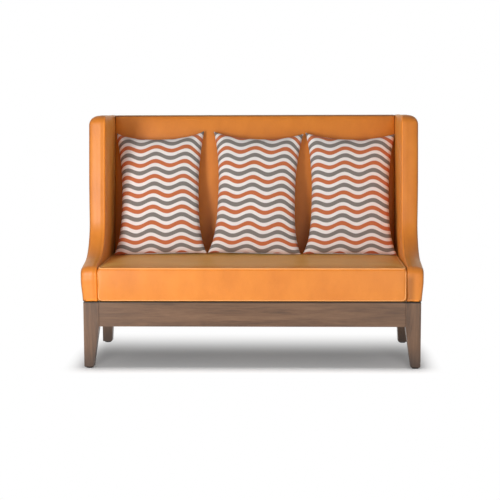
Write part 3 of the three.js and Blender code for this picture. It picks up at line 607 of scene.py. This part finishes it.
def wing_place(x, y, z, depth):
    middle = (WING_INNER + OUTER_FACE) / 2
    inner = pillow(depth, WING_CROWN, WING_REACH) * smoothstep((z - SEAT_TOP) / 0.08)
    outer = pillow(depth, OUTER_CROWN, 0.03)
    x = np.where(x < middle, x - inner, x + outer)
    x = x - TUCK * smoothstep((TUCK_TOP - z) / TUCK_RUN) * smoothstep((x - middle) / 0.03)
    x = x + STAND_OUT * smoothstep((z - STAND_OUT_BOTTOM) / STAND_OUT_RUN) * smoothstep((x - middle) / 0.03)
    front = 1 - smoothstep((y - FRONT - WING_SET_BACK) / TOP_CROWN_RUN)
    z = z + TOP_CROWN * smoothstep((z - HEIGHT + TOP_CROWN_DROP) / 0.06) * front
    points = np.stack([x, y, z], -1)
    # Soft hollows and swells in the padding
    swell = 0.0011 * ripple(points, 0.24, 5) * smoothstep(depth / 0.03 + 0.25)
    points[:, 0] += np.where(x < middle, -1, 1) * np.abs(swell)
    return points


def change_painted_shade(made, change):
    """Changes a mesh's painted shade and painted light by place."""
    co = points_of(made)
    painted_shading = np.zeros(len(co), np.float32)
    made.data.attributes["tone"].data.foreach_get("value", painted_shading)
    set_painted_shade(made, change(co, painted_shading))


# A painted shadow along the wings' lowest edge under a painted highlight line, painted light on their inner
# faces, and a painted shade on the right arm beside the seat
LOW_EDGE, LOW_LINE = 0.0032, 0.0080  # heights above the bottom of the dark edge and of the lighter line
LOW_EDGE_PAINTED_SHADE, LOW_LINE_PAINTED_LIGHT = 0.9, -0.4
RIGHT_FACE_PAINTED_LIGHT, LEFT_FACE_PAINTED_LIGHT = -0.32, -0.2  # of the wings' inner faces
ARM_PAINTED_SHADE, ARM_PAINTED_SHADE_TOP, ARM_PAINTED_SHADE_WIDTH = 0.52, 0.445, 0.044  # of the right arm, beside the seat


def wing_painted_shade(co, painted_shading):
    """The lowest edge has a painted shadow under a painted highlight line, and the inner face a little
    painted light. Behind its front the top's rounding has hardly any painted shade. On the right wing the
    inner edge has no painted highlight and a painted shade darkens the arm beside the seat."""
    rise = co[:, 2] - BOTTOM
    behind = smoothstep((co[:, 2] - HEIGHT + 0.055) / 0.02)
    behind *= smoothstep((co[:, 1] - FRONT - WING_SET_BACK - 0.012) / 0.03)
    painted_shading = painted_shading * (1 - 0.75 * behind)
    beside = smoothstep((WING_INNER + ARM_PAINTED_SHADE_WIDTH - co[:, 0]) / 0.03)
    beside *= smoothstep((ARM_PAINTED_SHADE_TOP - co[:, 2]) / 0.05)
    shaded = np.maximum(painted_shading, 0) + ARM_PAINTED_SHADE * beside * (co[:, 1] < FRONT + 0.03)
    painted_shading = np.where(co[:, 0] > 0, shaded, painted_shading)
    inside = (np.abs(co[:, 0]) < WING_INNER + 0.004) & (co[:, 2] > SEAT_TOP)
    painted_shading = painted_shading + inside * np.where(co[:, 0] > 0, RIGHT_FACE_PAINTED_LIGHT, LEFT_FACE_PAINTED_LIGHT)
    return painted_shading + np.where(rise < LOW_EDGE, LOW_EDGE_PAINTED_SHADE, np.where(rise < LOW_LINE, LOW_LINE_PAINTED_LIGHT, 0.0))


right_wing = loft("right_wing", WING_CORNERS, wing_stations(), wing_place, step=0.011, spacing=0.014)
left_wing = mirrored(right_wing, "left_wing")
change_painted_shade(right_wing, wing_painted_shade)
change_painted_shade(left_wing, wing_painted_shade)
for side, wing in (("right", right_wing), ("left", left_wing)):
    nodes = [f"{side}_wing_{part}" for part in ("inside_cover", "band", "outside_cover", "foam")]
    finish_piece(wing, "settee", velvet_cloth, *nodes, fill=0.95)

# Seat

SEAT_REAR = back_inside(SEAT_TOP) + 0.001
SEAT_CORNERS = [
    (-SEAT_HALF, FRONT, "front", 0.013, 6),
    (SEAT_HALF, FRONT, "side", 0.013, 6),
    (SEAT_HALF, SEAT_REAR, "rear", 0.010, 3),
    (-SEAT_HALF, SEAT_REAR, "side", 0.010, 3),
]
SEAT_EDGE, SEAT_SIDE_EDGE, CORNER = 0.017, 0.026, 0.018
FRONT_CROWN = 0.0035
# The front's lower edge: height above the bottom, inset, and tone, which paints shade in the recess under the
# piping
LOWER_EDGE = (
    (0.0, 0.0150, 1), (0.002, 0.0125, 1), (0.004, 0.0100, 1), (0.006, 0.0070, 0.8),
    (0.008, 0.0030, 0.3), (0.0105, 0.0008, 0), (0.013, 0.0, 0),
)


def seat_stations():
    def station(z, inset, depth=0.0, side=None, tone=0.0):
        return (z, {"front": inset, "side": inset if side is None else side, "rear": depth}, depth, tone)

    def corner(z):
        """How far the front's lower corners are rounded off at a height."""
        return CORNER * (1 - math.sqrt(max(0, 1 - max(0, 1 - (z - BOTTOM) / CORNER) ** 2)))

    # The underside and the recess under the lower piping are given painted shade
    made = [station(BOTTOM, LOWER_EDGE[0][1] + d, d, CORNER + d, 1) for d in (0.03, 0.008)]
    for rise, inset, tone in LOWER_EDGE:
        made.append(station(BOTTOM + rise, inset, 0.0, corner(BOTTOM + rise), tone))
    low, high = BOTTOM + LOWER_EDGE[-1][0], SEAT_TOP - SEAT_EDGE
    for k in range(1, 13):
        share = (k / 13) ** 1.5
        z = low + (high - low) * share
        made.append(station(z, -FRONT_CROWN * math.sin(math.pi * share), 0.0, corner(z)))
    for k in range(8):
        angle = math.pi / 2 * k / 7
        run = 1 - math.cos(angle)
        z = high + SEAT_EDGE * math.sin(angle)
        made.append(station(z, SEAT_EDGE * run, side=SEAT_SIDE_EDGE * run))
    for d in (0.004, 0.010, 0.018, 0.030, 0.048, 0.075):
        made.append(station(SEAT_TOP, SEAT_EDGE + d, d, SEAT_SIDE_EDGE + d))
    return made


def seat_place(z, x, y, depth):
    top = z > SEAT_TOP - 1e-6
    share = (y - FRONT) / SEAT_DEPTH
    rise = pillow(depth, SEAT_CROWN, SEAT_REACH) + 0.0008 * ripple(np.stack([x, y, 0 * x], -1), 0.2, 11)
    crown = np.where(top & (depth > 0), rise, 0)
    z = z - SEAT_DROP * share * smoothstep((z - BOTTOM) / 0.15) + crown
    # The rear leans with the back
    y = y + (z - SEAT_TOP) * INSIDE_SLOPE * np.clip(share, 0, 1) ** 4
    return np.stack([np.clip(x, -SEAT_HALF, SEAT_HALF), y, z], -1)


seat = loft("seat_pad", SEAT_CORNERS, seat_stations(), seat_place, step=0.016, spacing=0.02)
finish_piece(seat, "settee", velvet_cloth, "seat_cover", "seat_foam", fill=0.95)


def tube(name, path, radius, sides=10, up=(0, 0, 1)):
    """A closed round cord along a path that keeps clear of the up direction."""
    path = np.array(path, float)
    along = np.gradient(path, axis=0)
    along /= np.linalg.norm(along, axis=1)[:, None]
    across = np.cross(along, np.array(up, float))
    across /= np.linalg.norm(across, axis=1)[:, None]
    high = np.cross(across, along)
    points, faces = [], []
    for p, a, h in zip(path, across, high):
        for k in range(sides):
            angle = 2 * math.pi * k / sides
            points.append(p + radius * (math.cos(angle) * a + math.sin(angle) * h))
    for i in range(len(path) - 1):
        for k in range(sides):
            j = (k + 1) % sides
            faces.append((i * sides + k, i * sides + j, (i + 1) * sides + j, (i + 1) * sides + k))
    faces.append(tuple(reversed(range(sides))))
    faces.append(tuple((len(path) - 1) * sides + k for k in range(sides)))
    return mesh_object(name, points, faces)


PIPING, LOWER_PIPING = 0.0033, 0.0028
FRONT_INSET, FRONT_FALL = 0.0032, 0.0042  # of the piping's middle from the seat's front and top
SIDE_INSET, SIDE_FALL = 0.0083, 0.0028


def piping_path():
    """Along both sides of the seat's top and its front edge."""
    half, bend = SEAT_HALF - SIDE_INSET, 0.013
    cx, cy = half - bend, FRONT + FRONT_INSET + bend
    right = []
    for a in np.linspace(0, math.pi / 2, 9):
        fall = FRONT_FALL + (SIDE_FALL - FRONT_FALL) * math.sin(a)
        right.append((cx + bend * math.sin(a), cy - bend * math.cos(a), fall))
    right += [(half, y, SIDE_FALL) for y in np.linspace(cy + 0.01, SEAT_REAR - 0.02, 40)]
    front = [(x, FRONT + FRONT_INSET, FRONT_FALL) for x in np.linspace(-cx + 0.02, cx - 0.02, 70)]
    flat = [(-x, y, fall) for x, y, fall in reversed(right)] + front + right
    return [(x, y, SEAT_TOP - fall - SEAT_DROP * (y - FRONT) / SEAT_DEPTH) for x, y, fall in flat]


def lower_piping_path():
    """Down the front's left edge, along its lower edge and up its right edge."""
    side, low, turn = SEAT_HALF - 0.0058, BOTTOM + 0.0086, 0.017
    top = SEAT_TOP - 0.016
    bend = [
        (side - turn + turn * math.sin(a), low + turn - turn * math.cos(a))
        for a in np.linspace(0, math.pi / 2, 10)
    ]
    right = bend + [(side, z) for z in np.linspace(low + turn + 0.01, top, 12)]
    front = [(x, low) for x in np.linspace(turn + 0.01 - side, side - turn - 0.01, 70)]
    flat = [(-x, z) for x, z in reversed(right)] + front + right
    return [(x, FRONT + 0.0022, z) for x, z in flat]


piping = tube("seat_edge_piping", piping_path(), PIPING)
lower_piping = tube("seat_lower_piping", lower_piping_path(), LOWER_PIPING, up=(0, 1, 0))
finish_piece(piping, "settee", piping_highlight_cloth, "seat_piping")
finish_piece(lower_piping, "settee", piping_highlight_cloth)

# Inside back

BACK_BOTTOM = 0.37
BACK_CORNERS = [
    (-SEAT_HALF, BACK_BOTTOM, "bottom", 0.008, 3),
    (SEAT_HALF, BACK_BOTTOM, "side", 0.008, 3),
    (SEAT_HALF, HEIGHT, "top", 0.005, 3),
    (-SEAT_HALF, HEIGHT, "side", 0.005, 3),
]
BACK_PADDING = 0.094  # its thickness, which the stations share out
BACK_SHOULDER = 0.021  # how far behind the face the edge starts to round off
BACK_EDGE, BACK_SIDE_EDGE = 0.012, 0.012
# Painted shade round the top and side edges of the inside back
BACK_PAINTED_SHADE = (0.75, 0.95, 0.95, 0.65, 0.3, 0.08, 0, 0)  # round the top and side edges


def back_stations():
    """From the rear of the padding to its face. The offset is the distance behind the face."""

    def station(behind, top, side, depth=0.0, tone=0.0):
        return (behind, {"bottom": side, "top": top, "side": side}, depth, tone)

    made = [station(BACK_PADDING, d, d, d) for d in (0.05, 0.01, 0.0)]
    straight = BACK_PADDING - BACK_SHOULDER
    made += [station(BACK_PADDING - straight * k / 4, 0.0, 0.0) for k in range(1, 5)]
    for k, tone in enumerate(BACK_PAINTED_SHADE, 1):
        angle = math.pi / 2 * k / len(BACK_PAINTED_SHADE)
        run = 1 - math.cos(angle)
        behind = BACK_EDGE * (1 - math.sin(angle))
        made.append(station(behind, BACK_EDGE * run, BACK_SIDE_EDGE * run, tone=tone))
    made += [
        station(0.0, BACK_EDGE + d, BACK_SIDE_EDGE + d, d) for d in (0.003, 0.008, 0.015, 0.025, 0.040, 0.060)
    ]
    return made


def back_place(behind, x, z, depth):
    """The rear of the padding follows the outside back, and its face the inside line."""
    face = back_inside(z)
    rear = back_outside(z) - BACK_BOARD
    share = behind / BACK_PADDING
    y = face + (rear - face) * share
    front_face = behind < 1e-6
    points = np.stack([x, y, z], -1)
    rise = pillow(depth, BACK_CROWN, BACK_REACH) + 0.0008 * (1 + ripple(points, 0.25, 23))
    points[:, 1] -= np.where(front_face & (depth > 0), rise, 0)
    return points


back = loft("inside_back", BACK_CORNERS, back_stations(), back_place, step=0.016, spacing=0.022)
finish_piece(back, "settee", velvet_cloth, "inside_back_cover", "back_foam", fill=0.95)

# Outside back: a board covered with the same cloth, drawn tight, with a soft edge all round

OUTSIDE_CORNERS = [
    (-OUTER_FACE + 0.005, BOTTOM, "edge", 0.004, 3),
    (OUTER_FACE - 0.005, BOTTOM, "edge", 0.004, 3),
    (OUTER_FACE - 0.0012, HEIGHT - 0.001, "edge", OUTER_EDGE["top"], 10),
    (-OUTER_FACE + 0.0012, HEIGHT - 0.001, "edge", OUTER_EDGE["top"], 10),
]
# Its edge in section: distance out from the board, inset, depth into the face, and tone, which paints shade
# round the rim
OUTSIDE_SECTION = (
    (0.0, 0.02, 0.02, 0), (0.0, 0.003, 0.0, 1), (0.0006, 0.0012, 0.0, 1), (0.0016, 0.0005, 0.0, 0.6),
    (0.0028, 0.0012, 0.0, 0.3), (0.0034, 0.003, 0.0, 0.1), (0.0036, 0.006, 0.002, 0),
    (0.0036, 0.012, 0.008, 0), (0.0036, 0.024, 0.020, 0), (0.0036, 0.044, 0.040, 0),
)


def outside_place(out, x, z, depth):
    points = np.stack([x, back_outside(z) - BACK_BOARD + out, z], -1)
    swell = pillow(depth, 0.003, 0.04) + 0.0006 * (1 + ripple(points, 0.3, 31))
    points[:, 1] += np.where((out > 0.003) & (depth > 0), swell, 0)
    return points


outside_stations = [(out, {"edge": inset}, depth, tone) for out, inset, depth, tone in OUTSIDE_SECTION]
outside_back = loft("outside_back", OUTSIDE_CORNERS, outside_stations, outside_place, step=0.02, spacing=0.03)
finish_piece(outside_back, "settee", velvet_cloth, "outside_back_cover", slot="back_cloth", fill=1.0)

# Dust cover: one thin sheet, stapled round its edge, that sags a little

DUST_THICKNESS, DUST_SAG = 0.0008, 0.006
DUST_PULL, DUST_PULLS = 0.0006, 140  # how deep the pulls between staples are, and how close
low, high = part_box("dust_cover")
columns, rows = 74, 32
sag_points, sag_faces = [], []
for lift in (0.0, DUST_THICKNESS):
    for j in range(rows + 1):
        for i in range(columns + 1):
            u, v = i / columns, j / rows
            fall = DUST_SAG * (math.sin(math.pi * u) * math.sin(math.pi * v)) ** 0.6
            pull = DUST_PULL * math.sin(u * DUST_PULLS) * math.exp(-min(v, 1 - v) * 22)
            if i in (0, columns) or j in (0, rows):
                pull = 0
            z = high.z - 0.0009 + lift - fall + pull
            sag_points.append((low.x + (high.x - low.x) * u, low.y + (high.y - low.y) * v, z))
size = (columns + 1) * (rows + 1)
for j in range(rows):
    for i in range(columns):
        a = j * (columns + 1) + i
        quad = (a, a + 1, a + columns + 2, a + columns + 1)
        sag_faces += [tuple(reversed(quad)), tuple(size + p for p in quad)]
edge = list(range(columns))
edge += [columns + j * (columns + 1) for j in range(rows)]
edge += [rows * (columns + 1) + columns - i for i in range(columns)]
edge += [(rows - j) * (columns + 1) for j in range(rows)]
for p, q in zip(edge, edge[1:] + edge[:1]):
    sag_faces.append((p, q, size + q, size + p))
dust = mesh_object("dust_sheet", sag_points, sag_faces)
finish_piece(dust, "settee", dust_cloth, "dust_cover", slot="dust_cloth")

# Scatter cushions: two panels, sewn together round their rim and blown up by a cloth simulation

COLUMNS, ROWS = 54, 74
FRAMES = 24
SEWN_THICKNESS = 0.008  # of the solids' cushions at their rim
CROWN_POWER = 2.4  # how flat the middle of a cushion is
LOWER_BOW, UPPER_BOW = 3.5, 2.0  # how late the sides bow in, from each end
CORNER_POWER = 8  # how close to its corner an ear starts
START_FULLNESS = 0.6  # before it is blown up
CUT_GAP = 0.002  # how far each flat panel stands from the rim's plane
FULLNESS = 0.57  # the power that makes a blown cushion fuller near the seams
LUMPS, LUMP_SIZE, LUMP_SEED = 0.05, 0.3, 60
SEAT_CLEARANCE, BACK_CLEARANCE = 0.0012, 0.0022
# How far each ear is pulled inwards and up: top left, top right, bottom left, bottom right
EARS = {
    "left": ((0.005, 0.009), (0.004, 0.010), (0.002, 0), (0, 0)),
    "middle": ((-0.002, 0.002), (0, 0.002), (0, 0.001), (0.002, 0.002)),
    "right": ((-0.001, 0.003), (0.002, 0.001), (-0.002, 0), (-0.001, 0)),
}
ROUNDING_ALLOWANCE = 0.004  # the subdivision rounds a corner off by this
# The flat cut, at its corners and in its middle
CUT_WIDTH, CUT_WAIST, CUT_HEIGHT, CUT_MIDDLE = 0.453, 0.404, 0.618, 0.596


def cushion_grid():
    """Grid places of two panels that share their rim, as (side, u, v), and their faces."""
    places, faces, index = [], [], {}
    for side in (-1, 1):
        for j in range(ROWS + 1):
            for i in range(COLUMNS + 1):
                rim = i in (0, COLUMNS) or j in (0, ROWS)
                key = (0 if rim else side, i, j)
                if key not in index:
                    index[key] = len(places)
                    places.append((key[0], 2 * i / COLUMNS - 1, 2 * j / ROWS - 1))
        for j in range(ROWS):
            for i in range(COLUMNS):
                quad = []
                for a, b in ((i, j), (i + 1, j), (i + 1, j + 1), (i, j + 1)):
                    rim = a in (0, COLUMNS) or b in (0, ROWS)
                    quad.append(index[(0 if rim else side, a, b)])
                faces.append(tuple(quad) if side < 0 else tuple(reversed(quad)))
    return np.array(places, float), faces


def crown_at(u, v):
    return ((1 - np.abs(u) ** CROWN_POWER) * (1 - np.abs(v) ** CROWN_POWER)).clip(0) ** 0.5


def bow_at(v):
    """How far the sides bow inwards, as a share of the most."""
    return 1 - np.abs(v) ** np.where(v < 0, LOWER_BOW, UPPER_BOW)


def cushion_outline(u, v):
    """The made-up cushion's x and z, with drawn-in sides."""
    x = u * (CUSHION_WIDTH / 2 - CUSHION_TAPER * (v + 1) / 2 - CUSHION_DRAW_IN * bow_at(v))
    low, high = CUSHION_BOTTOM_DIP * (1 - u * u), CUSHION_HEIGHT - CUSHION_TOP_DIP * (1 - u * u)
    return x, low + (high - low) * (v + 1) / 2


def solid_cushion():
    """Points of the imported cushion's surface before it is leant back, for finding its place."""
    us = np.sin(math.pi / 2 * (2 * np.arange(11) / 10 - 1))
    vs = np.sin(math.pi / 2 * (2 * np.arange(13) / 12 - 1))
    u, v = np.meshgrid(us, vs)
    x, z = cushion_outline(u, v)
    half = (SEWN_THICKNESS + (CUSHION_THICKNESS - SEWN_THICKNESS) * crown_at(u, v)) / 2
    return np.concatenate([np.stack([x, s * half, z], -1).reshape(-1, 3) for s in (-1, 1)])


def blown(made, cut, rim):
    """Blows the panels up from their flat cut, with the rim held, and returns the points."""
    made.shape_key_add(name="made_up")
    flat = made.shape_key_add(name="cut")
    flat.data.foreach_set("co", cut.astype(np.float32).ravel())
    held = made.vertex_groups.new(name="rim")
    held.add([int(i) for i in np.flatnonzero(rim)], 1, "REPLACE")
    cloth = made.modifiers.new("cloth", "CLOTH")
    s = cloth.settings
    s.rest_shape_key = flat
    s.vertex_group_mass = "rim"
    s.quality, s.mass, s.air_damping = 6, 0.3, 3
    s.tension_stiffness = s.compression_stiffness = 20
    s.shear_stiffness, s.bending_stiffness = 8, 0.25
    s.tension_damping = s.compression_damping = 8
    s.use_pressure, s.uniform_pressure_force = True, 5
    s.effector_weights.gravity = 0
    cloth.collision_settings.use_collision = False
    cloth.point_cache.frame_start, cloth.point_cache.frame_end = 1, FRAMES
    for at in range(1, FRAMES + 1):
        scene.frame_set(at)
    evaluated = made.evaluated_get(bpy.context.evaluated_depsgraph_get())
    co = np.zeros(len(made.data.vertices) * 3, np.float32)
    evaluated.data.vertices.foreach_get("co", co)
    made.modifiers.remove(cloth)
    made.vertex_groups.clear()
    made.shape_key_clear()
    scene.frame_set(1)
    return co.reshape(-1, 3).astype(float)


# For each cover: the stripes' period, their shift up, the waves' shift across and their slant, and the
# print's slope
PRINTS = {
    "left": (0.0796, -0.0150, -0.0295, 0.058, -0.005),
    "middle": (0.0791, -0.0069, -0.0235, 0.058, 0.001),
    "right": (0.0782, -0.0099, -0.0380, 0.045, 0.023),
}
grid, grid_faces = cushion_grid()
panel, u, v = grid.T
rim = panel == 0
cut_x = u * (CUT_WAIST * bow_at(v) + (CUT_WIDTH - CUSHION_TAPER * (v + 1)) * (1 - bow_at(v))) / 2
cut_z = v * (CUT_MIDDLE + (CUT_HEIGHT - CUT_MIDDLE) * u * u) / 2
for number, (side, tilt) in enumerate(CUSHION_TILTS.items()):
    x, z = cushion_outline(u, v)
    corner = (np.abs(u) * np.abs(v)) ** CORNER_POWER
    ear = np.array(EARS[side])[np.where(v > 0, 0, 2) + np.where(u > 0, 1, 0)]
    x = x + np.sign(u) * corner * (ROUNDING_ALLOWANCE - ear[:, 0])
    z = z + corner * (np.sign(v) * ROUNDING_ALLOWANCE + ear[:, 1])
    lumps = 1 + LUMPS * ripple(np.stack([x, 3 * panel, z], -1), LUMP_SIZE, LUMP_SEED + number)
    full = panel * crown_at(u, v) * CUSHION_THICKNESS / 2
    start = np.stack([x, full * START_FULLNESS * lumps, z], -1)
    cushion = mesh_object(f"{side}_cushion", start, grid_faces, np.stack([cut_x, cut_z], -1))
    co = start
    co = blown(cushion, np.stack([cut_x, panel * CUT_GAP, cut_z], -1), rim)
    # The filling makes it fuller near the seams than air does
    fullness = np.abs(co[:, 1]) / np.percentile(np.abs(co[:, 1]), 99.8)
    co[:, 1] = np.sign(co[:, 1]) * CUSHION_THICKNESS / 2 * fullness**FULLNESS
    lean = Matrix.Rotation(-CUSHION_LEAN, 3, "X")
    turn = np.array(lean @ Matrix.Rotation(math.radians(tilt), 3, "Y"))
    solid = solid_cushion() @ turn.T
    low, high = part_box(f"{side}_cushion_cover")
    shift = (np.array(low) + np.array(high) - solid.min(0) - solid.max(0)) / 2
    co = co @ turn.T + shift
    # It is flat where it rests on the back and on the seat
    inward = (SEAT_HALF - np.abs(co[:, 0])).clip(0)
    level = SEAT_TOP - SEAT_DROP * (co[:, 1] - FRONT) / SEAT_DEPTH + SEAT_CLEARANCE
    level += pillow((inward - SEAT_EDGE).clip(0), SEAT_CROWN, SEAT_REACH)
    face = back_inside(co[:, 2]) - pillow((inward - BACK_SIDE_EDGE).clip(0), BACK_CROWN, BACK_REACH)
    face -= BACK_CLEARANCE
    co[:, 2] = np.maximum(co[:, 2], level)
    co[:, 1] = np.minimum(co[:, 1], face)
    set_points(cushion, co)
    finer = cushion.modifiers.new("finer", "SUBSURF")
    finer.levels = finer.render_levels = 1
    given = printed(f"{side}_cushion_print", *PRINTS[side])
    nodes = [f"{side}_cushion_cover", f"{side}_cushion_pad"]
    finish_piece(cushion, f"{side}_cushion", given, *nodes, slot="cushion_print", fill=0.75)

# Camera, fitted to the photograph's straight edges

PICTURE_PIXELS, FOCAL_PIXELS = 500, 1281
SENSOR = 36  # mm
CAMERA_PLACE = (0.1392, -5.9973, 1.2159)
yaw, pitch, roll = math.radians(1.49), math.radians(6.933), math.radians(-0.16)
ahead = Vector((-math.sin(yaw) * math.cos(pitch), math.cos(yaw) * math.cos(pitch), -math.sin(pitch)))
right = Vector((math.cos(yaw), math.sin(yaw), 0))
up = right.cross(ahead)
tilted_right = right * math.cos(roll) + up * math.sin(roll)
tilted_up = up * math.cos(roll) - right * math.sin(roll)
camera_data = bpy.data.cameras.new("camera")
camera_data.sensor_width, camera_data.lens = SENSOR, SENSOR * FOCAL_PIXELS / PICTURE_PIXELS
camera = bpy.data.objects.new("camera", camera_data)
scene.collection.objects.link(camera)
turned = Matrix((tilted_right, tilted_up, -ahead)).transposed().to_4x4()
camera.matrix_world = Matrix.Translation(CAMERA_PLACE) @ turned
scene.camera = camera

# Floor, background and lights

FAR = 30
# Where the floor turns white for the rays that see it: axis, direction, start and how far it takes
FADES = ((0, 1, 0.73, 0.13), (0, -1, 0.70, 0.16), (1, 1, -0.10, 0.60), (1, -1, 0.40, 0.18))
DIM, BRIGHT = 0.222, 1.0  # the world's light, and its strength where it is seen


def seeing_rays(tree):
    """1 for camera, glossy and transmission rays, and 0 for the others."""
    rays = node(tree, "LightPath").outputs
    through = maths(tree, "MAXIMUM", rays["Is Glossy Ray"], rays["Is Transmission Ray"])
    return maths(tree, "MAXIMUM", rays["Is Camera Ray"], through)


floor = mesh_object("floor", [(-FAR, -FAR, 0), (FAR, -FAR, 0), (FAR, FAR, 0), (-FAR, FAR, 0)], [(0, 1, 2, 3)])
floor_material = bpy.data.materials.new("floor")
floor_material.use_nodes = True
tree = floor_material.node_tree
tree.nodes.clear()
seen = seeing_rays(tree)
where = node(tree, "TexCoord").outputs["Object"]
place = node(tree, "SeparateXYZ", {0: where}).outputs
past = []
for axis, sign, edge, fade in FADES:
    beyond = maths(tree, "MULTIPLY_ADD", place[axis], sign / fade, -edge / fade)
    past.append(maths(tree, "MAXIMUM", beyond, 0.0))
sides = maths(tree, "MAXIMUM", past[0], past[1])
ends = maths(tree, "MAXIMUM", past[2], past[3])
both = node(tree, "CombineXYZ", {0: sides, 1: ends}).outputs[0]
reach = node(tree, "VectorMath", {0: both}, operation="LENGTH").outputs["Value"]
away = node(tree, "MapRange", {"Value": reach}, interpolation_type="SMOOTHSTEP").outputs["Result"]
pale = ramp(tree, noise(tree, where, 60, 3), [(0.3, (0.93, 0.93, 0.93)), (0.7, (0.96, 0.96, 0.96))])
lit = node(tree, "BsdfDiffuse", {"Color": pale}).outputs[0]
white = node(tree, "Emission", {"Color": (1, 1, 1, 1), "Strength": 1.0}).outputs[0]
shader = node(tree, "MixShader", {0: maths(tree, "MULTIPLY", seen, away), 1: lit, 2: white}).outputs[0]
tree.links.new(shader, node(tree, "OutputMaterial").inputs["Surface"])
floor.data.materials.append(floor_material)

world = bpy.data.worlds.new("studio")
scene.world = world
world.use_nodes = True
tree = world.node_tree
tree.nodes.clear()
dim = node(tree, "Background", {"Color": (1, 1, 1, 1), "Strength": DIM}).outputs[0]
bright = node(tree, "Background", {"Color": (1, 1, 1, 1), "Strength": BRIGHT}).outputs[0]
shader = node(tree, "MixShader", {0: seeing_rays(tree), 1: dim, 2: bright}).outputs[0]
tree.links.new(shader, node(tree, "OutputWorld").inputs["Surface"])


def lamp(name, place, target, size, power):
    """A rectangular lamp of a power in watts that faces its target."""
    data = bpy.data.lights.new(name, "AREA")
    data.shape, data.size, data.size_y = "RECTANGLE", size[0], size[1]
    data.energy = power
    made = bpy.data.objects.new(name, data)
    made.location = place
    made.rotation_euler = (Vector(target) - Vector(place)).to_track_quat("-Z", "Y").to_euler()
    scene.collection.objects.link(made)
    return made


key = lamp("key", (-1.9, -2.95, 0.85), (-0.1, 0, 0.45), (0.7, 1.7), 70)
lamp("fill", (1.3, -3.6, 0.7), (0, 0, 0.45), (1.2, 1.3), 15)
# Two lamps light the floor alone, and the key leaves it out, so that its shadow is soft
floor_lamps = (
    lamp("floor_light", (0.1, -0.2, 3.2), (0.1, -0.2, 0), (1.6, 1.2), 84),
    lamp("low_light", (0, -3.2, 0.7), (0, 0, 0), (3.0, 0.8), 90),
)
floor_only = bpy.data.collections.new("floor_only")
floor_only.objects.link(floor)
for floor_lamp in floor_lamps:
    floor_lamp.light_linking.receiver_collection = floor_only
all_but_floor = bpy.data.collections.new("all_but_floor")
all_but_floor.objects.link(floor)
all_but_floor.collection_objects[0].light_linking.link_state = "EXCLUDE"
key.light_linking.receiver_collection = all_but_floor

scene.view_settings.view_transform = "Standard"
